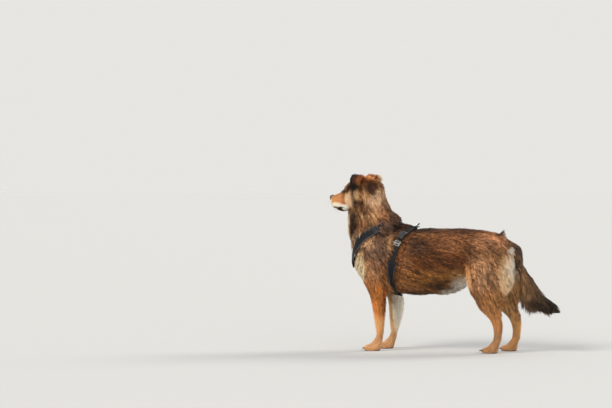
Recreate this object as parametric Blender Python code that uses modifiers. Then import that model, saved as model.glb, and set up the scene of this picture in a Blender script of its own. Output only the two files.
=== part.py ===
"""A standing dog, life size, that wears a walking harness and looks away to its right.

The dog faces -X, and its left side is -Y. The surfaces are those of the coat's tips.
The body and the head are each modelled whole and then parted with thin cuts.
The ears, eyes, nose, claws and harness are pieces of their own.
"""

import math

import bmesh
import bpy
from mathutils import Matrix, Vector
from mathutils.bvhtree import BVHTree

# Driving dimensions, in metres and degrees
GAP = 0.0003
FOLD_GAP = 0.0010
HEAD_TURN = 24.0
HEAD_CENTRE = Vector((-0.480, 0.030, 0.763))
EYE_RADIUS = 0.0110
EYE_SHOWS = 0.0038
WEBBING_WIDTH = 0.025
COLLAR_WIDTH = 0.029
WEBBING_THICKNESS = 0.0026
WEBBING_CLEARANCE = 0.0014
HARNESS_SINKS = 0.006

# Fineness of the surfaces
RING_POINTS = 24
STATIONS_BETWEEN = 4
BODY_VOXEL = 0.0055
HEAD_VOXEL = 0.0032
BODY_TRIANGLES = 2500
HEAD_TRIANGLES = 2300
TAIL_TRIANGLES = 240
BALL_SEGMENTS = 12
BALL_RINGS = 8

# Stations along the trunk: x, height of the widest place, half width, rise above it, drop below it
TRUNK = [
    (-0.453, 0.460, 0.034, 0.040, 0.042),
    (-0.438, 0.458, 0.068, 0.080, 0.080),
    (-0.401, 0.452, 0.098, 0.120, 0.125),
    (-0.337, 0.442, 0.114, 0.146, 0.148),
    (-0.266, 0.432, 0.122, 0.164, 0.160),
    (-0.184, 0.426, 0.129, 0.169, 0.163),
    (-0.092, 0.426, 0.131, 0.164, 0.160),
    (0.000, 0.432, 0.126, 0.157, 0.140),
    (0.082, 0.446, 0.116, 0.144, 0.100),
    (0.153, 0.456, 0.108, 0.130, 0.083),
    (0.215, 0.456, 0.104, 0.120, 0.080),
    (0.266, 0.452, 0.092, 0.112, 0.075),
    (0.302, 0.446, 0.082, 0.094, 0.075),
    (0.330, 0.440, 0.058, 0.064, 0.060),
]
# The long hair of the belly, in front of the thighs
BELLY_HAIR = [
    (-0.123, 0.330, 0.040, 0.030, 0.040),
    (-0.051, 0.330, 0.056, 0.040, 0.062),
    (0.010, 0.330, 0.056, 0.050, 0.064),
    (0.061, 0.340, 0.050, 0.050, 0.060),
    (0.112, 0.365, 0.040, 0.040, 0.050),
    (0.153, 0.385, 0.026, 0.030, 0.030),
]
# Stations up the neck: x, y, z, lean from upright in degrees, half width, reach back, reach forward
NECK = [
    (-0.305, 0.000, 0.455, 40.0, 0.108, 0.120, 0.125),
    (-0.322, 0.000, 0.505, 50.0, 0.114, 0.136, 0.140),
    (-0.352, 0.001, 0.575, 65.0, 0.102, 0.132, 0.130),
    (-0.370, 0.004, 0.640, 77.0, 0.091, 0.113, 0.122),
    (-0.380, 0.008, 0.700, 84.0, 0.082, 0.095, 0.098),
    (-0.386, 0.010, 0.755, 88.0, 0.075, 0.082, 0.070),
    (-0.390, 0.010, 0.796, 90.0, 0.062, 0.072, 0.050),
    (-0.394, 0.010, 0.818, 90.0, 0.034, 0.040, 0.028),
]
# Stations from the muzzle to the back of the skull, in the head's own frame, which faces -X from
# the middle of the eye line: x, height of the widest place, half width, rise, drop
SKULL = [
    (-0.1140, -0.042, 0.010, 0.012, 0.012),
    (-0.1090, -0.044, 0.018, 0.021, 0.022),
    (-0.1000, -0.046, 0.0245, 0.0260, 0.0300),
    (-0.0880, -0.048, 0.0285, 0.0310, 0.0370),
    (-0.0720, -0.050, 0.0310, 0.0370, 0.0430),
    (-0.0550, -0.050, 0.0345, 0.0430, 0.0475),
    (-0.0400, -0.049, 0.0390, 0.0490, 0.0500),
    (-0.0260, -0.045, 0.0410, 0.0560, 0.0530),
    (-0.0100, -0.038, 0.0470, 0.0690, 0.0580),
    (0.0100, -0.030, 0.0540, 0.0790, 0.0640),
    (0.0350, -0.022, 0.0610, 0.0830, 0.0700),
    (0.0600, -0.018, 0.0650, 0.0840, 0.0730),
    (0.0850, -0.014, 0.0650, 0.0820, 0.0720),
    (0.1100, -0.010, 0.0580, 0.0740, 0.0660),
    (0.1280, -0.006, 0.0430, 0.0540, 0.0500),
    (0.1380, -0.002, 0.0240, 0.0300, 0.0300),
]
# Rounded masses laid on both sides of the head: centre, radii, turn about the upright axis
HEAD_MASSES = {
    "brow": ((0.000, 0.024, 0.017), (0.018, 0.014, 0.012), 30.0),
    "cheek": ((0.050, 0.042, -0.032), (0.050, 0.027, 0.044), -8.0),
    "lip": ((-0.070, 0.0170, -0.060), (0.044, 0.0165, 0.024), 8.0),
    "eye corner": ((-0.030, 0.018, -0.006), (0.016, 0.012, 0.012), 20.0),
}
# The hollows that the eyes sit in, and the place and direction of the eyes themselves
ORBIT = ((-0.018, 0.0480, 0.000), (0.024, 0.0170, 0.0130), 34.0)
EYE_LOOKS_THROUGH = Vector((0.020, 0.0150, 0.000))
EYE_OUTWARD = 32.0
# The mouth's line, in the head's frame: its front, its corner, and how low it runs
MOUTH_FRONT = (-0.140, -0.0745)
MOUTH_CORNER = (-0.024, -0.0720)
NOSE_CENTRE = (-0.1075, 0.0, -0.0335)
NOSE_RADII = (0.0125, 0.0155, 0.0135)

# Stations down a left leg: x, y, z, half width, reach back, reach forward
FORELEG = [
    (-0.335, -0.070, 0.500, 0.042, 0.060, 0.060),
    (-0.338, -0.082, 0.440, 0.046, 0.070, 0.068),
    (-0.336, -0.088, 0.385, 0.044, 0.066, 0.062),
    (-0.332, -0.086, 0.340, 0.039, 0.062, 0.060),
    (-0.325, -0.082, 0.292, 0.033, 0.048, 0.043),
    (-0.3155, -0.079, 0.245, 0.0285, 0.0440, 0.0365),
    (-0.3110, -0.077, 0.197, 0.0265, 0.0370, 0.0320),
    (-0.3090, -0.075, 0.149, 0.0250, 0.0300, 0.0265),
    (-0.3070, -0.075, 0.118, 0.0250, 0.0240, 0.0245),
    (-0.3050, -0.075, 0.090, 0.0215, 0.0190, 0.0200),
    (-0.3070, -0.075, 0.065, 0.0220, 0.0185, 0.0200),
    (-0.3180, -0.075, 0.044, 0.0270, 0.0240, 0.0240),
    (-0.3290, -0.075, 0.027, 0.0305, 0.0300, 0.0290),
    (-0.3350, -0.075, 0.012, 0.0320, 0.0340, 0.0320),
    (-0.3370, -0.075, -0.006, 0.0300, 0.0320, 0.0300),
]
HINDLEG = [
    (0.226, -0.056, 0.500, 0.044, 0.082, 0.070),
    (0.224, -0.066, 0.450, 0.052, 0.108, 0.098),
    (0.222, -0.072, 0.400, 0.055, 0.130, 0.116),
    (0.222, -0.074, 0.350, 0.052, 0.130, 0.117),
    (0.222, -0.076, 0.293, 0.043, 0.110, 0.098),
    (0.232, -0.077, 0.238, 0.033, 0.072, 0.070),
    (0.246, -0.077, 0.195, 0.0275, 0.046, 0.050),
    (0.262, -0.077, 0.155, 0.0245, 0.031, 0.033),
    (0.270, -0.077, 0.120, 0.0225, 0.0225, 0.0255),
    (0.268, -0.077, 0.085, 0.0210, 0.0210, 0.0215),
    (0.264, -0.077, 0.060, 0.0225, 0.0220, 0.0220),
    (0.252, -0.077, 0.040, 0.0260, 0.0240, 0.0240),
    (0.244, -0.077, 0.024, 0.0290, 0.0290, 0.0290),
    (0.239, -0.077, 0.010, 0.0300, 0.0330, 0.0310),
    (0.237, -0.077, -0.006, 0.0285, 0.0310, 0.0290),
]
# For each leg: its stations, its side, how far back its foot and its middle joint stand,
# that joint's height, the paw's reach to the toes, and the spread of the toes
LEGS = {
    "fore_left": (FORELEG, -1.0, 0.000, 0.000, 0.26, 0.0300, 0.0155),
    "fore_right": (FORELEG, 1.0, 0.030, 0.046, 0.26, 0.0300, 0.0155),
    "hind_left": (HINDLEG, -1.0, 0.000, 0.000, 0.18, 0.0290, 0.0145),
    "hind_right": (HINDLEG, 1.0, 0.062, 0.062, 0.18, 0.0290, 0.0145),
}
SHIFT_FADES_BY = 0.44
TOE_RADII = (0.0240, 0.0110, 0.0165)
TOE_HEIGHT = 0.0125
# Each toe: place across the paw in spreads, and share of the reach
TOES = ((-1.5, 0.74), (-0.5, 1.0), (0.5, 1.0), (1.5, 0.74))
CLAW_LENGTH = 0.0130
CLAW_RADIUS = 0.0029
CLAW_HEIGHT = 0.0125
CLAW_TILT = 116.0
CLAW_SIDES = 6

# Cuts that part the body. A plane is a point and the direction of the piece that it parts off.
NECK_BASE = ((-0.335, 0.0, 0.555), (-0.377, 0.0, 0.926))
HEAD_BASE = ((-0.390, 0.010, 0.725), (-0.558, 0.248, 0.792))
# The space that each leg is parted in: outline of y and z on the right side, from one x to another
FORELEG_SPACE = [(0.034, -0.05), (0.034, 0.262), (0.106, 0.400), (0.220, 0.400), (0.220, -0.05)]
HINDLEG_SPACE = [(0.014, -0.05), (0.014, 0.300), (0.070, 0.430), (0.220, 0.430), (0.220, -0.05)]
FORELEG_REACH = {"left": (-0.460, -0.252), "right": (-0.460, -0.205)}
HINDLEG_REACH = {"left": (0.070, 0.450), "right": (0.070, 0.450)}
FORELEG_PIECES = ("upper_arm", "forearm", "forepaw")
HINDLEG_PIECES = ("thigh", "lower_leg", "hind_foot")
ELBOW_HEIGHT = 0.262
WRIST_HEIGHT = 0.078
KNEE_HEIGHT = 0.300
HOCK_HEIGHT = 0.172

# Stations along the tail: x, z, lean in degrees, half width, reach up and back, reach down
TAIL = [
    (0.278, 0.515, 35.0, 0.036, 0.034, 0.034),
    (0.322, 0.490, 48.0, 0.038, 0.036, 0.038),
    (0.352, 0.452, 62.0, 0.036, 0.032, 0.036),
    (0.364, 0.408, 72.0, 0.036, 0.029, 0.040),
    (0.374, 0.360, 66.0, 0.038, 0.040, 0.050),
    (0.394, 0.312, 52.0, 0.040, 0.054, 0.068),
    (0.427, 0.266, 42.0, 0.038, 0.050, 0.066),
    (0.468, 0.236, 32.0, 0.033, 0.043, 0.050),
    (0.508, 0.212, 30.0, 0.026, 0.034, 0.036),
    (0.538, 0.200, 36.0, 0.018, 0.022, 0.022),
    (0.553, 0.192, 40.0, 0.008, 0.009, 0.009),
]
TAIL_MIDDLE = ((0.392, 0.0, 0.345), (0.42, 0.0, -0.91))
TAIL_END = ((0.470, 0.0, 0.245), (0.80, 0.0, -0.60))

# The flap of the left ear, in the head's frame, from its root over its fold to its tip:
# centre, half width from front to back, half thickness
EAR = [
    ((0.088, -0.034, 0.040), 0.032, 0.0110),
    ((0.094, -0.047, 0.064), 0.036, 0.0085),
    ((0.098, -0.060, 0.0755), 0.037, 0.0070),
    ((0.095, -0.071, 0.0690), 0.036, 0.0064),
    ((0.088, -0.078, 0.0500), 0.033, 0.0060),
    ((0.080, -0.082, 0.0290), 0.025, 0.0050),
    ((0.074, -0.083, 0.0110), 0.011, 0.0032),
]
EAR_CUP = 0.010

# Routes of the straps over the coat: points near the surface, as x, y, z. The left side is listed.
NECK_STRAP = [
    (-0.458, -0.020, 0.433),
    (-0.447, -0.040, 0.448),
    (-0.433, -0.062, 0.475),
    (-0.414, -0.085, 0.514),
    (-0.390, -0.098, 0.543),
    (-0.360, -0.103, 0.565),
    (-0.324, -0.095, 0.580),
    (-0.280, -0.062, 0.600),
    (-0.240, -0.004, 0.607),
]
GIRTH_STRAP = [
    (-0.150, -0.004, 0.592),
    (-0.168, -0.055, 0.577),
    (-0.193, -0.092, 0.552),
    (-0.214, -0.114, 0.518),
    (-0.224, -0.127, 0.478),
    (-0.236, -0.128, 0.432),
    (-0.241, -0.120, 0.380),
    (-0.242, -0.106, 0.331),
    (-0.238, -0.065, 0.285),
    (-0.234, -0.004, 0.270),
]
GIRTH_PAD = [(-0.237, -0.128, 0.419), (-0.241, -0.120, 0.380), (-0.242, -0.106, 0.331)]
SPINE_STRAP = [(-0.208, 0.0, 0.606), (-0.190, 0.0, 0.600), (-0.173, 0.0, 0.594)]
CHEST_STRAP = [
    (-0.459, 0.0, 0.404),
    (-0.430, 0.0, 0.350),
    (-0.370, 0.0, 0.305),
    (-0.300, 0.0, 0.275),
    (-0.253, 0.0, 0.268),
]
# Patches sewn over the places where straps meet: their routes, widths
WITHERS_PATCH = ([(-0.264, 0.0, 0.610), (-0.238, 0.0, 0.606), (-0.208, 0.0, 0.602)], 0.046)
RING_PATCH = ([(-0.182, 0.0, 0.598), (-0.155, 0.0, 0.592), (-0.130, 0.0, 0.588)], 0.040)
BREAST_PATCH = ([(-0.458, 0.0, 0.456), (-0.464, 0.0, 0.424), (-0.456, 0.0, 0.390)], 0.052)
STERNUM_PATCH = ([(-0.266, 0.0, 0.268), (-0.238, 0.0, 0.266), (-0.212, 0.0, 0.268)], 0.044)
PATCH_CLEARANCE = WEBBING_CLEARANCE + WEBBING_THICKNESS + 0.0008
PATCH_THICKNESS = 0.0032
PAD_TOP_WIDTH = 0.043
PAD_FOOT_WIDTH = 0.014
PAD_THICKNESS = 0.0050
STRAP_STEP = 0.019
STRAP_EASING = 2
# Hardware on the straps: the share of the strap's length where it sits, its length, width, thickness
BUCKLE = (0.205, 0.044, 0.031, 0.011)
WAIST_RADIUS = 0.0085
GIRTH_SLIDER = (0.325, 0.026, 0.032, 0.0045)
NECK_SLIDER = (0.740, 0.026, 0.032, 0.0045)
RING_WIDTH = 0.030
RING_WIRE = 0.0022
RING_PLACE = Vector((-0.146, 0.0, 0.590))

# Colours of the coat and of the other pieces: red, green, blue, roughness, metallic
FINISHES = {
    "coat_red_brown": (0.200, 0.095, 0.045, 0.75, 0.0),
    "coat_dark": (0.100, 0.060, 0.038, 0.75, 0.0),
    "coat_orange": (0.420, 0.180, 0.065, 0.75, 0.0),
    "coat_tail": (0.120, 0.080, 0.050, 0.75, 0.0),
    "eye_brown": (0.050, 0.020, 0.008, 0.10, 0.0),
    "nose_leather": (0.015, 0.015, 0.018, 0.35, 0.0),
    "claw_horn": (0.030, 0.025, 0.022, 0.35, 0.0),
    "webbing": (0.012, 0.012, 0.014, 0.80, 0.0),
    "buckle_plastic": (0.015, 0.015, 0.017, 0.35, 0.0),
    "ring_steel": (0.600, 0.600, 0.620, 0.30, 1.0),
}

for left_over in list(bpy.data.objects):
    bpy.data.objects.remove(left_over)

DOG = bpy.data.collections.new("dog")
CUTTERS = bpy.data.collections.new("cutters")
bpy.context.scene.collection.children.link(DOG)
bpy.context.scene.collection.children.link(CUTTERS)
HEAD_FRAME = Matrix.Translation(HEAD_CENTRE) @ Matrix.Rotation(-math.radians(HEAD_TURN), 4, "Z")


# Materials and objects


def finish(name):
    """The material of that name, made once."""
    made = bpy.data.materials.get(name)
    if made:
        return made
    red, green, blue, roughness, metallic = FINISHES[name]
    made = bpy.data.materials.new(name)
    made.use_nodes = True
    shader = made.node_tree.nodes["Principled BSDF"]
    shader.inputs["Base Color"].default_value = (red, green, blue, 1.0)
    shader.inputs["Roughness"].default_value = roughness
    shader.inputs["Metallic"].default_value = metallic
    return made


def new_object(name, mesh, collection=DOG):
    """An object for the mesh, which may be a bmesh. A bmesh is freed."""
    if isinstance(mesh, bmesh.types.BMesh):
        filled = bpy.data.meshes.new(name)
        mesh.to_mesh(filled)
        mesh.free()
        mesh = filled
    made = bpy.data.objects.new(name, mesh)
    collection.objects.link(made)
    if collection is CUTTERS:
        made.hide_render = True
        made.display_type = "WIRE"
    return made


def baked(obj, name=None):
    """A new object with the modifiers applied. The old object is removed."""
    bpy.context.view_layer.update()
    graph = bpy.context.evaluated_depsgraph_get()
    mesh = bpy.data.meshes.new_from_object(obj.evaluated_get(graph))
    collection = obj.users_collection[0]
    name = name or obj.name
    bpy.data.objects.remove(obj)
    return new_object(name, mesh, collection)


def duplicate(obj, name, collection=DOG):
    """A copy of the object with a mesh of its own."""
    return new_object(name, obj.data.copy(), collection)


def paint(obj, material):
    """Gives the object one material and smooth shading."""
    obj.data.materials.clear()
    obj.data.materials.append(finish(material))
    obj.data.shade_smooth()
    return obj


# Shapes


def catmull(rows, between=STATIONS_BETWEEN):
    """The rows of numbers, with more rows on a smooth curve through them."""
    ends = [rows[0]] + list(rows) + [rows[-1]]
    smooth = []
    for k in range(1, len(ends) - 2):
        before, start, end, after = ends[k - 1 : k + 3]
        for step in range(between):
            t = step / between
            row = []
            for a, b, c, d in zip(before, start, end, after):
                bend = (2 * a - 5 * b + 4 * c - d) * t**2 + (3 * (b - c) + d - a) * t**3
                row.append(0.5 * (2 * b + (c - a) * t + bend))
            smooth.append(tuple(row))
    return smooth + [tuple(rows[-1])]


def section(centre, lean, half_width, upper, lower, squareness=2.2):
    """A closed outline across the body. Its up direction leans back by lean degrees."""
    up = Vector((math.sin(math.radians(lean)), 0.0, math.cos(math.radians(lean))))
    side = Vector((0.0, 1.0, 0.0))
    power = 2.0 / squareness
    points = []
    for k in range(RING_POINTS):
        turn = 2.0 * math.pi * k / RING_POINTS
        across = math.copysign(abs(math.cos(turn)) ** power, math.cos(turn)) * half_width
        reach = upper if math.sin(turn) > 0 else lower
        rise = math.copysign(abs(math.sin(turn)) ** power, math.sin(turn)) * reach
        points.append(Vector(centre) + side * across + up * rise)
    return points


def loft(outlines, mesh=None):
    """A closed skin over the outlines, added to the bmesh."""
    mesh = mesh or bmesh.new()
    loops = []
    for outline in outlines:
        corners = [mesh.verts.new(point) for point in outline]
        loops.append([mesh.edges.new((a, b)) for a, b in zip(corners, corners[1:] + corners[:1])])
    faces = []
    for first, second in zip(loops, loops[1:]):
        faces += bmesh.ops.bridge_loops(mesh, edges=first + second)["faces"]
    for end in (loops[0], loops[-1]):
        faces += bmesh.ops.edgeloop_fill(mesh, edges=end)["faces"]
    bmesh.ops.recalc_face_normals(mesh, faces=faces)
    return mesh


def level_loft(rows, mesh=None):
    """A loft from rows of x, height, half width, rise and drop."""
    rows = catmull(rows)
    return loft([section((x, 0.0, z), 0.0, w, up, down, 2.3) for x, z, w, up, down in rows], mesh)


def leaning_loft(rows, mesh=None):
    """A loft from rows of x, y, z, lean, half width, reach back and reach forward."""
    rows = catmull(rows)
    return loft([section((x, y, z), lean, w, up, down) for x, y, z, lean, w, up, down in rows], mesh)


def ball(mesh, centre, radii, turn=0.0, segments=BALL_SEGMENTS, rings=BALL_RINGS):
    """An ellipsoid added to the bmesh, turned about the upright axis by turn degrees."""
    place = Matrix.Translation(centre) @ Matrix.Rotation(math.radians(turn), 4, "Z")
    shape = place @ Matrix.Diagonal((*radii, 1.0))
    made = bmesh.ops.create_uvsphere(mesh, u_segments=segments, v_segments=rings, radius=1.0, matrix=shape)
    return made["verts"]


def side_balls(mesh, centre, radii, turn):
    """The ellipsoid on the left side and its mirror image on the right."""
    corners = []
    for side in (-1.0, 1.0):
        corners += ball(mesh, (centre[0], centre[1] * side, centre[2]), radii, turn * side)
    return corners


def half_space(name, point, direction, size=3.0):
    """A big cutter that fills the side of the plane that direction points to."""
    turned = Vector(direction).to_track_quat("Z", "Y").to_matrix().to_4x4()
    place = Matrix.Translation(point) @ turned @ Matrix.Translation((0.0, 0.0, size / 2))
    mesh = bmesh.new()
    bmesh.ops.create_cube(mesh, size=size, matrix=place)
    return new_object(name, mesh, CUTTERS)


def prism(name, outline, x_from, x_to):
    """A cutter with an outline of y and z, from one x to another."""
    mesh = bmesh.new()
    face = mesh.faces.new([mesh.verts.new((x_from, y, z)) for y, z in outline])
    pushed = bmesh.ops.extrude_face_region(mesh, geom=[face])["geom"]
    corners = [v for v in pushed if isinstance(v, bmesh.types.BMVert)]
    bmesh.ops.translate(mesh, verts=corners, vec=(x_to - x_from, 0.0, 0.0))
    bmesh.ops.recalc_face_normals(mesh, faces=mesh.faces)
    return new_object(name, mesh, CUTTERS)


def widened(region, name):
    """The flat-sided region, a gap bigger on each side. Three of its sides meet at each corner."""
    mesh = bmesh.new()
    mesh.from_mesh(region.data)
    mesh.normal_update()
    moves = []
    for corner in mesh.verts:
        sides = Matrix([face.normal for face in corner.link_faces])
        moves.append(sides.inverted() @ Vector((GAP, GAP, GAP)))
    for corner, move in zip(mesh.verts, moves):
        corner.co += move
    return new_object(name, mesh, CUTTERS)


def biggest_body(obj):
    """Keeps the object's largest closed body, and welds points that nearly meet."""
    mesh = bmesh.new()
    mesh.from_mesh(obj.data)
    bmesh.ops.remove_doubles(mesh, verts=mesh.verts, dist=5e-6)
    bmesh.ops.triangulate(mesh, faces=mesh.faces)
    bodies = []
    unseen = set(mesh.verts)
    while unseen:
        body = []
        waiting = [unseen.pop()]
        while waiting:
            corner = waiting.pop()
            body.append(corner)
            fresh = [v for v in (edge.other_vert(corner) for edge in corner.link_edges) if v in unseen]
            unseen.difference_update(fresh)
            waiting += fresh
        bodies.append(body)
    bodies.sort(key=len)
    crumbs = [corner for body in bodies[:-1] for corner in body]
    bmesh.ops.delete(mesh, geom=crumbs, context="VERTS")
    mesh.to_mesh(obj.data)
    mesh.free()
    return obj


def carved(obj, cutter, operation="DIFFERENCE"):
    """The object after the boolean operation with the cutter."""
    cut = obj.modifiers.new("cut", "BOOLEAN")
    cut.operation = operation
    cut.object = cutter
    return biggest_body(baked(obj))


def kept_side(obj, point, direction):
    """The object without what lies on the side of the plane that direction points to."""
    cutter = half_space("away", point, direction)
    obj = carved(obj, cutter)
    bpy.data.objects.remove(cutter)
    return obj


def split(whole, point, direction, name):
    """Parts the whole at a plane. Returns the rest and the piece on the side that direction points to."""
    direction = Vector(direction).normalized()
    ahead = half_space("ahead", Vector(point) - direction * GAP / 2, direction)
    behind = half_space("behind", Vector(point) + direction * GAP / 2, -direction)
    piece = carved(duplicate(whole, name), behind)
    rest = carved(whole, ahead)
    bpy.data.objects.remove(ahead)
    bpy.data.objects.remove(behind)
    return rest, piece


def part_off(whole, region, name):
    """Parts off what lies in the flat-sided region. Returns the rest and the piece."""
    wide = widened(region, region.name + "_wide")
    piece = carved(duplicate(whole, name), region, "INTERSECT")
    rest = carved(whole, wide)
    bpy.data.objects.remove(region)
    bpy.data.objects.remove(wide)
    return rest, piece


def one_skin(obj, voxel, smoothing):
    """Remeshes what the object holds into one smooth closed skin."""
    remesh = obj.modifiers.new("one skin", "REMESH")
    remesh.mode = "VOXEL"
    remesh.voxel_size = voxel
    smooth = obj.modifiers.new("smooth", "SMOOTH")
    smooth.factor = 0.5
    smooth.iterations = smoothing
    return baked(obj)


def thinned(obj, triangles):
    """Thins the object's mesh to about that many triangles."""
    obj.data.calc_loop_triangles()
    thin = obj.modifiers.new("thin", "DECIMATE")
    thin.ratio = triangles / len(obj.data.loop_triangles)
    return biggest_body(baked(obj))


def surface_of(obj):
    """A search tree of the object's surface."""
    mesh = bmesh.new()
    mesh.from_mesh(obj.data)
    tree = BVHTree.FromBMesh(mesh)
    mesh.free()
    return tree


# The body


def leg_shift(height, foot, joint, joint_height):
    """How far back the leg stands at that height."""
    if height < joint_height:
        return foot + (joint - foot) * max(height, 0.0) / joint_height
    return joint * max(0.0, SHIFT_FADES_BY - height) / (SHIFT_FADES_BY - joint_height)


def paw_toes(stations, side, foot, reach, spread):
    """The centres of the four toes of a paw."""
    heel_x, heel_y = stations[-1][0] + foot, -stations[-1][1] * side
    for across, share in TOES:
        yield Vector((heel_x - reach * share, heel_y + across * spread, TOE_HEIGHT))


def build_body():
    """The neck, trunk, legs and paws in one skin, with flat soles at floor level."""
    mesh = level_loft(TRUNK)
    level_loft(BELLY_HAIR, mesh)
    leaning_loft(NECK, mesh)
    for stations, side, foot, joint, joint_height, reach, spread in LEGS.values():
        rows = []
        for x, y, z, half_width, back, forward in stations:
            moved = x + leg_shift(z, foot, joint, joint_height)
            rows.append((moved, -y * side, z, 90.0, half_width, back, forward))
        leaning_loft(rows, mesh)
        for centre in paw_toes(stations, side, foot, reach, spread):
            ball(mesh, centre, TOE_RADII)
    side_balls(mesh, (-0.305, 0.078, 0.470), (0.082, 0.042, 0.092), 0.0)
    side_balls(mesh, (0.200, 0.066, 0.440), (0.098, 0.048, 0.098), 0.0)
    side_balls(mesh, (0.275, 0.048, 0.410), (0.072, 0.048, 0.090), 0.0)
    ball(mesh, (-0.212, 0.0, 0.545), (0.090, 0.070, 0.061))
    skin = one_skin(new_object("trunk", mesh), BODY_VOXEL, 10)
    press_in(skin)
    skin = thinned(skin, BODY_TRIANGLES)
    floor = half_space("floor", (0.0, 0.0, 0.0), (0.0, 0.0, -1.0))
    skin = carved(skin, floor)
    bpy.data.objects.remove(floor)
    return skin


def mirrored(route, way):
    """The route on the left side where way is 1, and its mirror image where way is -1."""
    return [(x, y * way, z) for x, y, z in route]


def press_in(obj):
    """Presses the coat in under the straps."""
    width = WEBBING_WIDTH * 0.9
    routes = [SPINE_STRAP, CHEST_STRAP]
    for way in (1.0, -1.0):
        routes += [mirrored(NECK_STRAP, way), mirrored(GIRTH_STRAP, way)]
    points = [Vector(p) for route in routes for p in catmull(route, 6)]
    mesh = bmesh.new()
    mesh.from_mesh(obj.data)
    mesh.normal_update()
    tree = BVHTree.FromBMesh(mesh)
    points = [tree.find_nearest(p)[0] for p in points]
    for corner in mesh.verts:
        nearest = min((corner.co - p).length_squared for p in points)
        if nearest < (3 * width) ** 2:
            corner.co -= corner.normal * HARNESS_SINKS * math.exp(-((nearest / width**2) ** 2))
    mesh.to_mesh(obj.data)
    mesh.free()


def build_head():
    """The head, and enough of the neck to meet it."""
    mesh = level_loft(SKULL)
    for centre, radii, turn in HEAD_MASSES.values():
        side_balls(mesh, centre, radii, turn)
    bmesh.ops.transform(mesh, matrix=HEAD_FRAME, verts=mesh.verts)
    leaning_loft(NECK, mesh)
    head = one_skin(new_object("head", mesh), HEAD_VOXEL, 4)
    orbits = bmesh.new()
    corners = side_balls(orbits, *ORBIT)
    bmesh.ops.transform(orbits, matrix=HEAD_FRAME, verts=corners)
    hollows = new_object("hollows", orbits, CUTTERS)
    head = carved(head, hollows)
    bpy.data.objects.remove(hollows)
    return thinned(one_skin(head, HEAD_VOXEL, 6), HEAD_TRIANGLES)


# The pieces of the head


def place_in_head(mesh):
    """Moves the bmesh from the head's own frame to the dog's."""
    bmesh.ops.transform(mesh, matrix=HEAD_FRAME, verts=mesh.verts)
    return mesh


def pushed_out(obj, by):
    """A cutter the shape of the object, that much bigger all round."""
    copy = duplicate(obj, obj.name + "_room", CUTTERS)
    push = copy.modifiers.new("push", "DISPLACE")
    push.mid_level = 0.0
    push.strength = by
    return baked(copy)


def add_eyes(head):
    """Two eyeballs that show a shallow cap each, and a socket around each. Returns the head."""
    surface = surface_of(head)
    for side, name in ((1.0, "eye_left"), (-1.0, "eye_right")):
        turn = math.radians(EYE_OUTWARD)
        outward = Vector((-math.cos(turn), -math.sin(turn) * side, 0.05)).normalized()
        start = Vector((EYE_LOOKS_THROUGH.x, -EYE_LOOKS_THROUGH.y * side, EYE_LOOKS_THROUGH.z))
        world_out = (HEAD_FRAME.to_3x3() @ outward).normalized()
        hit = surface.ray_cast(HEAD_FRAME @ start, world_out)[0]
        centre = hit - world_out * (EYE_RADIUS - EYE_SHOWS)
        mesh = bmesh.new()
        ball(mesh, centre, (EYE_RADIUS,) * 3)
        eye = paint(new_object(name, mesh), "eye_brown")
        room = pushed_out(eye, GAP)
        head = carved(head, room)
        bpy.data.objects.remove(room)
    return head


def add_nose(head):
    """The nose leather, and the room for it in the muzzle. Returns the head."""
    mesh = bmesh.new()
    ball(mesh, NOSE_CENTRE, NOSE_RADII)
    nose = paint(new_object("nose", place_in_head(mesh)), "nose_leather")
    room = pushed_out(nose, GAP)
    head = carved(head, room)
    bpy.data.objects.remove(room)
    return head


def add_jaw(head):
    """Parts off the lower jaw, below the closed mouth. Returns the head."""
    front_x, front_z = MOUTH_FRONT
    corner_x, corner_z = MOUTH_CORNER
    half_width, depth = 0.06, 0.06
    mesh = bmesh.new()
    outline = [
        (front_x, front_z),
        (corner_x, corner_z),
        (corner_x + 0.012, corner_z - depth),
        (front_x, front_z - depth),
    ]
    face = mesh.faces.new([mesh.verts.new((x, -half_width, z)) for x, z in outline])
    pushed = bmesh.ops.extrude_face_region(mesh, geom=[face])["geom"]
    corners = [v for v in pushed if isinstance(v, bmesh.types.BMVert)]
    bmesh.ops.translate(mesh, verts=corners, vec=(0.0, 2 * half_width, 0.0))
    bmesh.ops.recalc_face_normals(mesh, faces=mesh.faces)
    region = new_object("below_mouth", place_in_head(mesh), CUTTERS)
    return part_off(head, region, "lower_jaw")


def ear_section(centre, ahead, half_width, half_thickness):
    """A thin cupped outline across the ear. ahead points along the flap."""
    wide = Vector((1.0, 0.0, 0.0))
    thick = wide.cross(ahead).normalized()
    wide = ahead.cross(thick).normalized()
    points = []
    for k in range(RING_POINTS // 2):
        turn = 4.0 * math.pi * k / RING_POINTS
        across, rise = math.cos(turn), math.sin(turn)
        cup = EAR_CUP * across**2 * half_width / 0.036
        points.append(Vector(centre) + wide * across * half_width + thick * (rise * half_thickness - cup))
    return points


def add_ears(head):
    """Both ears, parted from the head where they grow from it. Returns the head."""
    rows = [(*centre, width, thickness) for centre, width, thickness in EAR]
    for side, name in ((1.0, "ear_left"), (-1.0, "ear_right")):
        outlines = []
        for k, row in enumerate(rows):
            before, after = Vector(rows[max(k - 1, 0)][:3]), Vector(rows[min(k + 1, len(rows) - 1)][:3])
            outline = ear_section(row[:3], (after - before).normalized(), row[3], row[4])
            outlines.append([Vector((p.x, p.y * side, p.z)) for p in outline])
        ear = paint(new_object(name, place_in_head(loft(outlines))), "coat_dark")
        head_room = pushed_out(head, FOLD_GAP)
        ear = carved(ear, head_room)
        bpy.data.objects.remove(head_room)
    return head


# The tail and the claws


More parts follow.
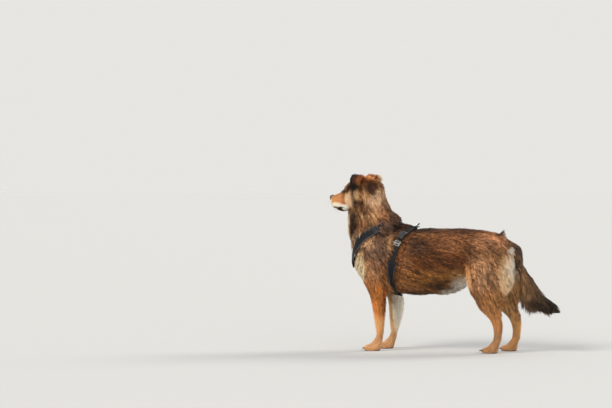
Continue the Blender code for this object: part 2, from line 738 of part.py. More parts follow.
def build_tail(body):
    """The tail in three lengths, cut clear of the rump. Returns them from root to tip."""
    rows = [(x, 0.0, z, 90.0 - lean, w, up, down) for x, z, lean, w, up, down in TAIL]
    tail = one_skin(new_object("tail_root", leaning_loft(rows)), BODY_VOXEL, 4)
    tail = thinned(tail, TAIL_TRIANGLES)
    rump = pushed_out(body, FOLD_GAP)
    tail = carved(tail, rump)
    bpy.data.objects.remove(rump)
    root, rest = split(tail, *TAIL_MIDDLE, "tail_middle")
    middle, tip = split(rest, *TAIL_END, "tail_tip")
    return root, middle, tip


def add_claws(paw, leg):
    """A claw in front of each of the paw's toes, just clear of it."""
    stations, side, foot, _, _, reach, spread = LEGS[leg]
    surface = surface_of(paw)
    tilt = Matrix.Rotation(math.radians(-CLAW_TILT), 4, "Y")
    for k, toe in enumerate(paw_toes(stations, side, foot, reach, spread)):
        level = Vector((toe.x - 0.1, toe.y, CLAW_HEIGHT))
        front = surface.ray_cast(level, (1.0, 0.0, 0.0))[0]
        centre = front - Vector((CLAW_LENGTH / 2, 0.0, CLAW_LENGTH * 0.12))
        mesh = bmesh.new()
        bmesh.ops.create_cone(
            mesh,
            cap_ends=True,
            segments=CLAW_SIDES,
            radius1=CLAW_RADIUS,
            radius2=CLAW_RADIUS / 4,
            depth=CLAW_LENGTH,
            matrix=Matrix.Translation(centre) @ tilt,
        )
        claw = paint(new_object(f"claw_{leg}_{k + 1}", mesh), "claw_horn")
        room = pushed_out(paw, GAP)
        carved(claw, room)
        bpy.data.objects.remove(room)


# The harness


def on_coat(surface, point, clearance):
    """The nearest place to the point, that far off the coat, and the coat's outward direction."""
    place, outward = surface.find_nearest(point)[:2]
    return place + outward * clearance, outward


def strap_path(surface, route, clearance=WEBBING_CLEARANCE):
    """Points along the route about a centimetre apart, laid on the coat, each with its outward direction."""
    length = sum((Vector(b) - Vector(a)).length for a, b in zip(route, route[1:]))
    between = max(3, round(length / (len(route) - 1) / STRAP_STEP))
    path = [on_coat(surface, Vector(p), clearance) for p in catmull(route, between)]
    for _ in range(STRAP_EASING):
        eased = [path[0]]
        for before, here, after in zip(path, path[1:], path[2:]):
            middle = (before[0] + here[0] * 2 + after[0]) / 4
            eased.append(on_coat(surface, middle, clearance))
        path = eased + [path[-1]]
    return path


def add_strap(name, surface, route, width, thickness, clearance=WEBBING_CLEARANCE):
    """A flat strap of that width laid along the route, its thickness outside it."""
    path = strap_path(surface, route, clearance)
    mesh = bmesh.new()
    rows = []
    for k, (place, outward) in enumerate(path):
        along = path[min(k + 1, len(path) - 1)][0] - path[max(k - 1, 0)][0]
        across = along.cross(outward).normalized()
        half = width(k / (len(path) - 1)) / 2 if callable(width) else width / 2
        row = []
        for share in (-1.0, 0.0, 1.0):
            point, _ = on_coat(surface, place + across * half * share, clearance)
            row.append(mesh.verts.new(point))
        rows.append(row)
    for first, second in zip(rows, rows[1:]):
        for k in range(2):
            mesh.faces.new((first[k], first[k + 1], second[k + 1], second[k]))
    bmesh.ops.recalc_face_normals(mesh, faces=mesh.faces)
    middle = rows[len(rows) // 2][1]
    middle.normal_update()
    if middle.normal.dot(path[len(path) // 2][1]) < 0:
        bmesh.ops.reverse_faces(mesh, faces=mesh.faces)
    strap = new_object(name, mesh)
    wall = strap.modifiers.new("webbing", "SOLIDIFY")
    wall.thickness = thickness
    wall.offset = 1.0
    return paint(biggest_body(baked(strap)), "webbing")


def seat_on_strap(surface, route, share, height):
    """A frame on the strap: X along it, Y across it and Z off the coat, that high above the coat."""
    path = strap_path(surface, route, height)
    k = min(max(round(share * (len(path) - 1)), 1), len(path) - 2)
    place, outward = path[k]
    along = (path[k + 1][0] - path[k - 1][0]).normalized()
    across = outward.cross(along).normalized()
    turned = Matrix((along, across, along.cross(across))).transposed().to_4x4()
    return Matrix.Translation(place) @ turned


def rounded_box(mesh, size, bevel, place):
    """A box of that size with rounded edges, added to the bmesh."""
    shape = place @ Matrix.Diagonal((*size, 1.0))
    made = bmesh.ops.create_cube(mesh, size=1.0, matrix=shape)
    edges = list({edge for corner in made["verts"] for edge in corner.link_edges})
    bmesh.ops.bevel(mesh, geom=edges, offset=bevel, segments=1, affect="EDGES", profile=0.5)
    return mesh


def bedded(piece, *straps):
    """The piece, hollowed underneath to lie clear of the straps."""
    for strap in straps:
        room = pushed_out(strap, GAP)
        piece = carved(piece, room)
        bpy.data.objects.remove(room)
    return piece


def add_buckle(name, surface, route, sizes, strap):
    """A side-release buckle that sits on the strap: a housing with a waist."""
    share, length, width, thickness = sizes
    seat = seat_on_strap(surface, route, share, PATCH_CLEARANCE + thickness / 2)
    buckle = new_object(name, rounded_box(bmesh.new(), (length, width, thickness), 0.0028, seat))
    for side in (-1.0, 1.0):
        waist = bmesh.new()
        middle = seat @ Vector((0.002, side * width * 0.60, 0.0))
        ball(waist, middle, (WAIST_RADIUS,) * 3, 0.0, 8, 6)
        cutter = new_object("waist", waist, CUTTERS)
        buckle = carved(buckle, cutter)
        bpy.data.objects.remove(cutter)
    return paint(bedded(buckle, strap), "buckle_plastic")


def add_slider(name, surface, route, sizes, strap):
    """A strap adjuster: a flat frame with two slots."""
    share, length, width, thickness = sizes
    seat = seat_on_strap(surface, route, share, PATCH_CLEARANCE + thickness / 2)
    slider = new_object(name, rounded_box(bmesh.new(), (length, width, thickness), 0.0014, seat))
    for side in (-1.0, 1.0):
        slot = bmesh.new()
        size = (length * 0.25, width * 0.72, thickness * 3)
        place = seat @ Matrix.Translation((side * length * 0.22, 0.0, 0.0))
        bmesh.ops.create_cube(slot, size=1.0, matrix=place @ Matrix.Diagonal((*size, 1.0)))
        cutter = new_object("slot", slot, CUTTERS)
        slider = carved(slider, cutter)
        bpy.data.objects.remove(cutter)
    return paint(bedded(slider, strap), "buckle_plastic")


def add_lead_ring(surface):
    """The steel D-shaped ring on the back: a bar across the dog and a bow that stands up behind it."""
    place, outward = on_coat(surface, RING_PLACE, PATCH_CLEARANCE + PATCH_THICKNESS + RING_WIRE + GAP)
    half = RING_WIDTH / 2
    lean = Matrix.Rotation(math.radians(52.0), 3, "Y")
    points = [Vector((0.0, -half, 0.0)), Vector((0.0, half, 0.0))]
    for k in range(9):
        turn = math.pi * k / 8
        points.append(Vector((0.0, half * math.cos(turn), half * 0.45 + half * math.sin(turn))))
    curve = bpy.data.curves.new("lead_ring", "CURVE")
    curve.dimensions = "3D"
    curve.bevel_depth = RING_WIRE
    curve.bevel_resolution = 1
    spline = curve.splines.new("POLY")
    spline.points.add(len(points) - 1)
    for point, corner in zip(spline.points, points):
        point.co = (*(place + lean @ corner), 1.0)
    spline.use_cyclic_u = True
    drawn = bpy.data.objects.new("lead_ring", curve)
    DOG.objects.link(drawn)
    return paint(biggest_body(baked(drawn)), "ring_steel")


def taper(share):
    """The width of the girth pad, from its top to its foot."""
    return PAD_TOP_WIDTH + (PAD_FOOT_WIDTH - PAD_TOP_WIDTH) * share


def add_harness(body):
    """Straps, and over them patches, pads, buckles, sliders and the ring."""
    surface = surface_of(body)
    spine = bedded(add_strap("spine_strap", surface, SPINE_STRAP, WEBBING_WIDTH, WEBBING_THICKNESS), body)
    chest = bedded(add_strap("chest_strap", surface, CHEST_STRAP, WEBBING_WIDTH, WEBBING_THICKNESS), body)
    collars, bands = [], []
    for side, way in (("left", 1.0), ("right", -1.0)):
        neck, girth = mirrored(NECK_STRAP, way), mirrored(GIRTH_STRAP, way)
        collar = add_strap("neck_strap_" + side, surface, neck, COLLAR_WIDTH, WEBBING_THICKNESS)
        middle, inward = (0.0, -way * GAP, 0.0), (0.0, way, 0.0)
        collar = kept_side(bedded(collar, body), middle, inward)
        band = add_strap("girth_strap_" + side, surface, girth, WEBBING_WIDTH, WEBBING_THICKNESS)
        band = kept_side(bedded(band, body), middle, inward)
        route = mirrored(GIRTH_PAD, way)
        pad = add_strap("girth_pad_" + side, surface, route, taper, PAD_THICKNESS, PATCH_CLEARANCE)
        bedded(pad, band)
        add_buckle("buckle_" + side, surface, girth, BUCKLE, band)
        add_slider("girth_slider_" + side, surface, girth, GIRTH_SLIDER, band)
        add_slider("neck_slider_" + side, surface, neck, NECK_SLIDER, collar)
        collars.append(collar)
        bands.append(band)
    patches = {
        "withers_patch": (WITHERS_PATCH, [spine] + collars),
        "ring_patch": (RING_PATCH, [spine] + bands),
        "breast_patch": (BREAST_PATCH, [chest] + collars),
        "sternum_patch": (STERNUM_PATCH, [chest] + bands),
    }
    for name, ((route, width), straps) in patches.items():
        patch = add_strap(name, surface, route, width, PATCH_THICKNESS, PATCH_CLEARANCE)
        bedded(patch, *straps)
    add_lead_ring(surface)


# The whole dog


def part_legs(trunk):
    """Parts the four legs from the trunk, and each leg at its joints. Returns the trunk."""
    kinds = {
        "fore": (FORELEG_SPACE, FORELEG_REACH, FORELEG_PIECES, ELBOW_HEIGHT, WRIST_HEIGHT),
        "hind": (HINDLEG_SPACE, HINDLEG_REACH, HINDLEG_PIECES, KNEE_HEIGHT, HOCK_HEIGHT),
    }
    for kind, (outline, reach, names, upper_cut, lower_cut) in kinds.items():
        for side, way in (("left", -1.0), ("right", 1.0)):
            top, middle, foot = (f"{name}_{side}" for name in names)
            space = prism("space", [(y * way, z) for y, z in outline], *reach[side])
            trunk, leg = part_off(trunk, space, top)
            leg, lower = split(leg, (0.0, 0.0, upper_cut), (0.0, 0.0, -1.0), middle)
            lower, paw = split(lower, (0.0, 0.0, lower_cut), (0.0, 0.0, -1.0), foot)
            add_claws(paw, f"{kind}_{side}")
            paint(leg, "coat_red_brown")
            paint(lower, "coat_orange")
            paint(paw, "coat_orange")
    return trunk


def stand_at_origin():
    """Moves everything so that the middle of the dog's box is above the origin."""
    corners = [corner.co for obj in DOG.objects for corner in obj.data.vertices]
    middle_x = (min(c.x for c in corners) + max(c.x for c in corners)) / 2
    middle_y = (min(c.y for c in corners) + max(c.y for c in corners)) / 2
    for obj in DOG.objects:
        obj.data.transform(Matrix.Translation((-middle_x, -middle_y, 0.0)))


def build_dog():
    body = build_body()
    head = build_head()
    for tail in build_tail(body):
        paint(tail, "coat_tail")
    add_harness(body)
    base, forward = Vector(HEAD_BASE[0]), Vector(HEAD_BASE[1]).normalized()
    head = kept_side(head, base + forward * GAP / 2, -forward)
    head = add_ears(head)
    head = add_nose(add_eyes(head))
    head, jaw = add_jaw(head)
    paint(head, "coat_orange")
    paint(jaw, "coat_orange")
    trunk, neck = split(body, *NECK_BASE, "neck")
    paint(kept_side(neck, base - forward * GAP / 2, forward), "coat_dark")
    paint(part_legs(trunk), "coat_red_brown")
    stand_at_origin()


build_dog()
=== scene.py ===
import math

import bmesh
import bpy
import numpy as np
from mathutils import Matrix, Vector
from mathutils.bvhtree import BVHTree
from mathutils.kdtree import KDTree


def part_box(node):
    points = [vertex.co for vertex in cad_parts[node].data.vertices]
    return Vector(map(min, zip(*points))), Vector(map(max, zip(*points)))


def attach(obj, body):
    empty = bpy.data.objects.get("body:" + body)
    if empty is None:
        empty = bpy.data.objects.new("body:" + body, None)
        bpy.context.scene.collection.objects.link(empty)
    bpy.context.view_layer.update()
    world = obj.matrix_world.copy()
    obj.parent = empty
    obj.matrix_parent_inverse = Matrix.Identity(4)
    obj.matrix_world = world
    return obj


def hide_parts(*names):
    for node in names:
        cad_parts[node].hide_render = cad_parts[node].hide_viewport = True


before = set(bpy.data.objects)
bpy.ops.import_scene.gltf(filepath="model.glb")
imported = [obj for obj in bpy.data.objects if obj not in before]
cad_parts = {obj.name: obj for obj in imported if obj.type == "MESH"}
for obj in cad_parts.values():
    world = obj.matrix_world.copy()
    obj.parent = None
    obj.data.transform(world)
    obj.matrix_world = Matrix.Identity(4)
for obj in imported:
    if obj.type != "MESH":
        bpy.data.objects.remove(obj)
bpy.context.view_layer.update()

chance = np.random.default_rng(7)
scene = bpy.context.scene
sides = {"left": -1.0, "right": 1.0}


# Camera, floor and light

stageSettings = {
    "cameraTurn": 12.0,  # degrees behind square-on to the dog's left side
    "cameraAim": 3.49,  # turned further, so that the dog stands right of the middle
    "cameraPitch": -1.18,
    "cameraDistance": 11.0,
    "cameraHeight": 0.93,
    "standsAt": 0.0177,  # the place along the dog that the camera circles
    "lens": 135.0,
    "floorSize": 90.0,
    "floorColour": (0.452, 0.464, 0.478),
    "skyColour": (1.0, 0.985, 0.955),
    "skyStrength": 0.80,
    "lamps": {  # where each comes from, its strength, its colour and its width in degrees
        "key": ((-0.62, -0.80, 0.80), 2.35, (1.0, 0.93, 0.82), 25.0),
        "fill": ((0.45, -0.85, 0.16), 0.752, (1.0, 0.96, 0.92), 60.0),
        "back": ((0.70, 0.70, 0.62), 1.9975, (1.0, 0.95, 0.86), 25.0),
    },
}


def buildStage():
    s = stageSettings
    turn = math.radians(s["cameraTurn"])
    lens = bpy.data.cameras.new("camera")
    lens.lens = s["lens"]
    lens.sensor_width = 36.0
    camera = bpy.data.objects.new("camera", lens)
    camera.location = (
        math.sin(turn) * s["cameraDistance"] + s["standsAt"],
        -math.cos(turn) * s["cameraDistance"],
        s["cameraHeight"],
    )
    pitch = math.radians(90.0 + s["cameraPitch"])
    camera.rotation_euler = (pitch, 0.0, turn + math.radians(s["cameraAim"]))
    scene.collection.objects.link(camera)
    scene.camera = camera

    mesh = bmesh.new()
    bmesh.ops.create_grid(mesh, x_segments=1, y_segments=1, size=s["floorSize"] / 2)
    floor = makeObject("floor", mesh, newFinish("floorFinish", 0.95, Base_Color=(*s["floorColour"], 1.0))[0])

    world = bpy.data.worlds.new("sky")
    world.use_nodes = True
    sky = world.node_tree.nodes["Background"]
    sky.inputs["Color"].default_value = (*s["skyColour"], 1.0)
    sky.inputs["Strength"].default_value = s["skyStrength"]
    scene.world = world
    for name, (comesFrom, strength, colour, width) in s["lamps"].items():
        lamp = bpy.data.lights.new(name, "SUN")
        lamp.energy = strength
        lamp.color = colour
        lamp.angle = math.radians(width)
        lampObject = bpy.data.objects.new(name, lamp)
        lampObject.rotation_euler = Vector(comesFrom).to_track_quat("Z", "Y").to_euler()
        scene.collection.objects.link(lampObject)
    scene.view_settings.view_transform = "Standard"
    print("stage is set")


# Making objects and reading meshes


def makeObject(name, mesh, finish=None):
    # an object at the origin for a bmesh, which is freed, or for a mesh; smooth if it has a finish
    if isinstance(mesh, bmesh.types.BMesh):
        filled = bpy.data.meshes.new(name)
        mesh.to_mesh(filled)
        mesh.free()
        mesh = filled
    made = bpy.data.objects.new(name, mesh)
    scene.collection.objects.link(made)
    if finish:
        mesh.materials.append(finish)
        mesh.shade_smooth()
    return made


def shapeOf(piece):
    # the object's mesh with its modifiers applied
    bpy.context.view_layer.update()
    graph = bpy.context.evaluated_depsgraph_get()
    return bpy.data.meshes.new_from_object(piece.evaluated_get(graph))


def readAll(items, field, width=3, kind=np.float32):
    # one field of every item, a row each
    values = np.empty(len(items) * width, kind)
    items.foreach_get(field, values)
    return values.reshape(-1, width)


def placesOf(mesh):
    return readAll(mesh.vertices, "co").astype(np.float64)


def normalsOf(mesh):
    return readAll(mesh.vertex_normals, "vector").astype(np.float64)


def setPlaces(mesh, places):
    mesh.vertices.foreach_set("co", places.astype(np.float32).ravel())
    mesh.update()


def treeOf(mesh):
    return BVHTree.FromPolygons([v.co for v in mesh.vertices], [list(p.vertices) for p in mesh.polygons])


def paintCoat(mesh, colour):
    rgba = np.concatenate([colour, np.ones((len(colour), 1))], axis=1)
    paint = mesh.color_attributes.new("coatColour", "FLOAT_COLOR", "POINT")
    paint.data.foreach_set("color", rgba.astype(np.float32).ravel())


def eased(values, ends, rounds, share=0.5):
    # each value drawn towards the mean of its neighbours
    values = np.array(values, float)
    flat = values.reshape(len(values), -1)
    links = np.bincount(ends.ravel(), minlength=len(flat)).clip(1)[:, None]
    for _ in range(rounds):
        total = np.zeros_like(flat)
        for column in range(flat.shape[1]):
            total[:, column] += np.bincount(ends[:, 0], flat[ends[:, 1], column], len(flat))
            total[:, column] += np.bincount(ends[:, 1], flat[ends[:, 0], column], len(flat))
        flat += (total / links - flat) * share
    return flat.reshape(values.shape)


def unit(vectors):
    return vectors / np.maximum(np.linalg.norm(vectors, axis=-1, keepdims=True), 1e-9)


def farFrom(places, middle, reach):
    # 0 at the middle, 1 at the edge of the round of those half sizes, and on
    return np.linalg.norm((places - np.array(middle)) / np.array(reach), axis=1)


def flips(both):
    # as it stands, and mirrored where it is on both sides
    return [np.array((1.0, sign, 1.0)) for sign in ((1.0, -1.0) if both else (1.0,))]


def blend(low, high, value):
    # 0 below low, 1 above high, smooth between
    t = np.clip((value - low) / (high - low), 0.0, 1.0)
    return t * t * (3.0 - 2.0 * t)


def linear(colour):
    # from the 0 to 255 of a paint chart to the numbers that light works in
    share = np.array(colour, float) / 255.0
    return np.where(share < 0.04045, share / 12.92, ((share + 0.055) / 1.055) ** 2.4)


def waves(places, size, seed):
    # slow smooth variation from -1 to 1 over that distance
    pick = np.random.default_rng(seed)
    total = np.zeros(len(places))
    for _ in range(7):
        way = unit(pick.normal(size=3)) * (2 * math.pi / size) * pick.uniform(0.6, 1.7)
        total += np.sin(places @ way + pick.uniform(0, 2 * math.pi))
    return total / 4.0


def speckle(places, cell, seed):
    # a random number for each small cube of space
    keys = np.floor(places / cell).astype(np.int64) + 4096
    mixed = keys[:, 0] * 73856093 ^ keys[:, 1] * 19349663 ^ keys[:, 2] * 83492791 ^ seed * 26544357
    mixed = (mixed ^ (mixed >> 13)) * 1274126177 & 0x7FFFFFFF
    return ((mixed ^ (mixed >> 15)) & 0xFFFF) / 65535.0


def streaks(places, lie, cell, half, seed):
    # random bands along the lie of the hair, of mean 0 and spread 1
    total = np.zeros(len(places))
    for step in range(-half, half + 1):
        total += speckle(places + lie * (step * cell * 0.8), cell, seed) - 0.5
    return total / max(total.std(), 1e-6)


# Shader helpers


def newFinish(name, roughness=0.5, **sockets):
    finish = bpy.data.materials.new(name)
    finish.use_nodes = True
    shader = finish.node_tree.nodes["Principled BSDF"]
    shader.inputs["Roughness"].default_value = roughness
    for socket, value in sockets.items():
        shader.inputs[socket.replace("_", " ")].default_value = value
    return finish, finish.node_tree.nodes, finish.node_tree.links, shader


def groupedFinish(name, group, values, roughness=0.5, bump=0.3, depth=0.0004, **sockets):
    # a finish whose colour, roughness and height come from the group
    finish, nodes, links, shader = newFinish(name, roughness, **sockets)
    held = nodes.new("ShaderNodeGroup")
    held.node_tree = group
    for socket, value in values.items():
        held.inputs[socket].default_value = value
    raised = addNode(nodes, "ShaderNodeBump", Strength=bump, Distance=depth)
    links.new(held.outputs["Color"], shader.inputs["Base Color"])
    links.new(held.outputs["Roughness"], shader.inputs["Roughness"])
    links.new(held.outputs["Height"], raised.inputs["Height"])
    links.new(raised.outputs["Normal"], shader.inputs["Normal"])
    return finish


def newGroup(name, inputs):
    # a group with those inputs, whose outputs are a colour, a roughness and a height
    group = bpy.data.node_groups.new(name, "ShaderNodeTree")
    for label, value in inputs.items():
        kind = "NodeSocketFloat" if isinstance(value, float) else "NodeSocketColor"
        group.interface.new_socket(label, in_out="INPUT", socket_type=kind).default_value = value
    for label in ("Color", "Roughness", "Height"):
        kind = "NodeSocketColor" if label == "Color" else "NodeSocketFloat"
        group.interface.new_socket(label, in_out="OUTPUT", socket_type=kind)
    return group, group.nodes.new("NodeGroupInput").outputs, group.nodes.new("NodeGroupOutput").inputs


def addNode(nodes, kind, **settings):
    node = nodes.new(kind)
    for name, value in settings.items():
        if hasattr(node, name):
            setattr(node, name, value)
        else:
            node.inputs[name.replace("_", " ")].default_value = value
    return node


def fedBy(links, socket, value):
    # the socket's value, or what is linked to it
    if hasattr(value, "is_output"):
        links.new(value, socket)
    else:
        socket.default_value = value


def mathsOf(group):
    # a maker of the group's sums, each giving its output
    def maths(operation, *values):
        node = addNode(group.nodes, "ShaderNodeMath", operation=operation)
        for socket, value in zip(node.inputs, values):
            fedBy(group.links, socket, value)
        return node.outputs[0]

    return maths


def mixed(group, share, first, second, way="MIX"):
    # the two colours mixed in the group
    mix = addNode(group.nodes, "ShaderNodeMix", data_type="RGBA", blend_type=way)
    for k, value in ((0, share), (6, first), (7, second)):
        fedBy(group.links, mix.inputs[k], value)
    return mix.outputs[2]


def noiseOf(group, **settings):
    # noise over the piece's own places
    noise = addNode(group.nodes, "ShaderNodeTexNoise", **settings)
    group.links.new(group.nodes.new("ShaderNodeTexCoord").outputs["Object"], noise.inputs["Vector"])
    return noise


def spreadOver(group, value, low, high, first=0.0, last=1.0):
    # the value's span from low to high as one from first to last
    span = addNode(group.nodes, "ShaderNodeMapRange", From_Min=low, From_Max=high, To_Min=first, To_Max=last)
    group.links.new(value, span.inputs["Value"])
    return span.outputs["Result"]


def rampInto(nodes, links, shader, attribute, stops):
    # the shader's colour from the mesh's own value, by those stops
    value = addNode(nodes, "ShaderNodeAttribute", attribute_name=attribute)
    ramp = nodes.new("ShaderNodeValToRGB")
    while len(ramp.color_ramp.elements) < len(stops):
        ramp.color_ramp.elements.new(0.5)
    for element, (place, colour) in zip(ramp.color_ramp.elements, stops):
        element.position = place
        element.color = opaque(colour)
    links.new(value.outputs["Fac"], ramp.inputs["Fac"])
    links.new(ramp.outputs["Color"], shader.inputs["Base Color"])


def opaque(colour):
    return (*linear(colour), 1.0)


# The head's own frame: the middle of the eye line, X to the back of the skull, Y to its right

eyeCentres = {}
for side in sides:
    low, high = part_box("eye_" + side)
    eyeCentres[side] = (low + high) / 2
eyeRadius = (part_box("eye_left")[1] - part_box("eye_left")[0]).z / 2
headRight = eyeCentres["right"] - eyeCentres["left"]
headRight.z = 0.0
headRight.normalize()
headBack = headRight.cross(Vector((0.0, 0.0, 1.0)))
headMiddle = (eyeCentres["left"] + eyeCentres["right"]) / 2
headAxes = np.array([headBack, headRight, (0.0, 0.0, 1.0)])


def inHead(places):
    return (places - np.array(headMiddle)) @ headAxes.T


def fromHead(places):
    return places @ headAxes + np.array(headMiddle)


# The solids of the body and of the harness, and how to search their surfaces

limbs = ["upper_arm", "forearm", "forepaw", "thigh", "lower_leg", "hind_foot"]
fleshNodes = ["trunk", "neck", "head", "lower_jaw", "tail_root", "tail_middle", "tail_tip"]
fleshNodes += [f"{limb}_{side}" for limb in limbs for side in sides]
fleshNodes += ["ear_left", "ear_right"]
fleshParts = np.array([node.replace("_left", "").replace("_right", "") for node in fleshNodes])
harnessNodes = [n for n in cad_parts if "strap" in n or "patch" in n or "pad" in n]
harnessNodes += [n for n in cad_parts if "buckle" in n or "slider" in n]


def mergedMesh(node, swell=0.0):
    mesh = bmesh.new()
    mesh.from_mesh(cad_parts[node].data)
    bmesh.ops.remove_doubles(mesh, verts=mesh.verts, dist=1e-5)
    mesh.normal_update()
    for corner in mesh.verts:
        corner.co += corner.normal * swell
    return mesh


def solidTree(nodes):
    # a search tree of the nodes' surfaces, and the node of each of its faces
    corners, faces, owners = [], [], []
    for k, node in enumerate(nodes):
        mesh = mergedMesh(node)
        start = len(corners)
        corners += [v.co.copy() for v in mesh.verts]
        faces += [[start + v.index for v in face.verts] for face in mesh.faces]
        owners += [k] * len(mesh.faces)
        mesh.free()
    return BVHTree.FromPolygons(corners, faces), np.array(owners)


def nearestOn(tree, places):
    # nearest places, their normals, their faces and how far they are
    found = [tree.find_nearest(p) for p in places.tolist()]
    return tuple(np.array(column) for column in zip(*found))


# Skin

skinSettings = {
    "voxel": 0.0058,
    "swell": 0.0007,  # closes the thin cuts between the solids
    "smoothing": (0.5, 3),  # factor and rounds over the joined solids
    # rounds of easing: of the coat's depth, of its normals, of the depth again where the body
    # is thin, and of the skin
    "depthRounds": 60, "normalRounds": 4, "thinRounds": 12, "skinRounds": 3,
    "mostInside": 0.8,  # of half the body's thickness, the most that the coat may take
    "underShade": 0.38,  # painted shade: how much darker the skin is under long hair
    "soleColour": (34, 28, 27),
    "depths": {  # of the coat over each part
        "trunk": 0.017, "neck": 0.021, "head": 0.004, "lower_jaw": 0.0012, "ear": 0.0026,
        "upper_arm": 0.012, "forearm": 0.0050, "forepaw": 0.0016,
        "thigh": 0.017, "lower_leg": 0.010, "hind_foot": 0.0035,
        "tail_root": 0.017, "tail_middle": 0.025, "tail_tip": 0.016,
    },
    # soft pushes that round the shell's form: middle, half sizes, shift
    "pushes": [
        ((0.208, -0.090, 0.215), (0.035, 0.060, 0.050), (-0.012, 0.0, 0.0)),
        ((0.262, 0.090, 0.215), (0.035, 0.060, 0.050), (-0.010, 0.0, 0.0)),
        ((0.375, 0.000, 0.475), (0.030, 0.050, 0.045), (0.008, 0.0, 0.003)),
        ((-0.240, 0.000, 0.600), (0.060, 0.050, 0.030), (0.0, 0.0, 0.003)),
    ],
    # more of them, each on both sides
    "sidePushes": [
        ((0.095, -0.120, 0.450), (0.085, 0.055, 0.100), (0.0, 0.014, 0.0)),
        ((0.365, -0.105, 0.440), (0.035, 0.045, 0.090), (-0.006, 0.013, 0.0)),
    ],
    # the same in the head's frame
    "headPushes": [
        ((0.085, -0.090, 0.018), (0.045, 0.016, 0.036), (0.0, 0.009, 0.0)),
        ((0.132, -0.060, 0.078), (0.022, 0.040, 0.022), (-0.006, 0.0, -0.005)),
    ],
    "shortDepth": (0.0011, 0.011),  # over the head: at the face, and what the back of the skull adds
    # deeper coat over some stretches of those parts
    "deeper": {
        "belly": 0.024, "groin": 0.042, "breast": 0.024, "rear": 0.030, "fringe": 0.010, "underTail": 0.036,
    },
    "toeGap": 0.0034, "toeGapHalf": 0.0022,  # the furrows between the toes: their depth and half width
    "toeRun": 0.030,  # how far back they run
    "knuckle": 0.0022, "knuckleHalf": 0.0062,  # height and half width
    # the parting of the lips, in the head's frame, and the roll of the lower lip under it
    "lipCorner": -0.010, "lipFront": -0.135, "lipHeight": -0.0795, "lipFall": 0.105,
    "lipDepth": 0.0026, "lipHalf": 0.0017, "lipRoll": 0.0009, "lipRollBelow": 0.0042, "lipRollHalf": 0.0026,
    "groundGap": 0.0001,  # under the soles
}


def buildShell():
    # the surface of the coat's tips, in one closed mesh
    mesh = bmesh.new()
    for node in fleshNodes:
        piece = mergedMesh(node, skinSettings["swell"])
        lump = bpy.data.meshes.new("lump")
        piece.to_mesh(lump)
        piece.free()
        mesh.from_mesh(lump)
        bpy.data.meshes.remove(lump)
    shell = makeObject("shell", mesh)
    remesh = shell.modifiers.new("one body", "REMESH")
    remesh.mode = "VOXEL"
    remesh.voxel_size = skinSettings["voxel"]
    smooth = shell.modifiers.new("smooth", "SMOOTH")
    smooth.factor, smooth.iterations = skinSettings["smoothing"]
    shaped = shapeOf(shell)
    bpy.data.objects.remove(shell)
    places = pushed(placesOf(shaped), skinSettings["pushes"], False)
    places = pushed(places, skinSettings["sidePushes"], True)
    setPlaces(shaped, fromHead(pushed(inHead(places), skinSettings["headPushes"], True)))
    return shaped


def pushed(places, pushes, both):
    # the places shifted softly around each push's middle
    for middle, reach, shift in pushes:
        for flip in flips(both):
            far = farFrom(places, middle * flip, reach)
            places = places + np.exp(-1.4 * far**2)[:, None] * shift * flip
    return places


def refined(mesh):
    # more faces on the head, more again at the eyes, nose and mouth, and twice more on the paws
    fine = bmesh.new()
    fine.from_mesh(mesh)
    for zone in (headZone, faceZone, pawZone, pawZone):
        inside = zone(np.array([v.co for v in fine.verts]))
        edges = [e for e in fine.edges if inside[e.verts[0].index] and inside[e.verts[1].index]]
        bmesh.ops.subdivide_edges(fine, edges=edges, cuts=1, use_grid_fill=True, smooth=0.4)
        fine.verts.index_update()
    bmesh.ops.triangulate(fine, faces=fine.faces)
    fine.to_mesh(mesh)
    fine.free()
    return mesh


def pawZone(places):
    # the toes and the front of each paw
    inside = np.zeros(len(places), bool)
    for node in fleshNodes:
        if node.startswith(("forepaw", "hind_foot")):
            low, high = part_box(node)
            near = (places[:, 0] < low.x + 0.052) & (np.abs(places[:, 1] - (low.y + high.y) / 2) < 0.045)
            inside |= near & (places[:, 0] > low.x - 0.01) & (places[:, 2] < 0.045)
    return inside


def toePush(places, normals):
    # furrows between the toes and a knuckle on each, from the places of the claws
    s = skinSettings
    push = np.zeros_like(places)
    for paw in ("fore_left", "fore_right", "hind_left", "hind_right"):
        claws = [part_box(n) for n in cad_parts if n.startswith("claw_" + paw)]
        middles = sorted(float(low.y + high.y) / 2 for low, high in claws)
        front = min(float(high.x) for low, high in claws)
        run = places[:, 0] - front
        near = (np.abs(places[:, 1] - np.mean(middles)) < 0.045) & (run > -0.03)
        near = near & (run < 0.06) & (places[:, 2] < 0.05)
        back = 1.0 - blend(0.35, 1.0, run / s["toeRun"])
        for a, b in zip(middles[:-1], middles[1:]):
            gap = np.exp(-(((places[:, 1] - (a + b) / 2) / s["toeGapHalf"]) ** 2)) * back * near
            push -= normals * (gap * s["toeGap"])[:, None]
        for y in middles:
            off = ((places[:, 1] - y) / s["knuckleHalf"]) ** 2 + ((run - 0.010) / 0.010) ** 2
            knuckle = np.exp(-off) * near * blend(0.010, 0.022, places[:, 2])
            push += normals * (knuckle * s["knuckle"])[:, None]
    return push


def lipPush(places, normals):
    # the groove between the lips, and the lower lip's roll
    s = skinSettings
    back, _, up = inHead(places).T
    above = up - s["lipHeight"] + s["lipFall"] * np.maximum(back + 0.050, 0.0)
    within = blend(-0.002, 0.006, s["lipCorner"] - back) * (back > s["lipFront"])
    groove = np.exp(-((above / s["lipHalf"]) ** 2))
    roll = np.exp(-(((above + s["lipRollBelow"]) / s["lipRollHalf"]) ** 2))
    return normals * ((s["lipRoll"] * roll - s["lipDepth"] * groove) * within)[:, None]


def headZone(places):
    back, _, up = inHead(places).T
    return (back < 0.075) & (up > -0.105)


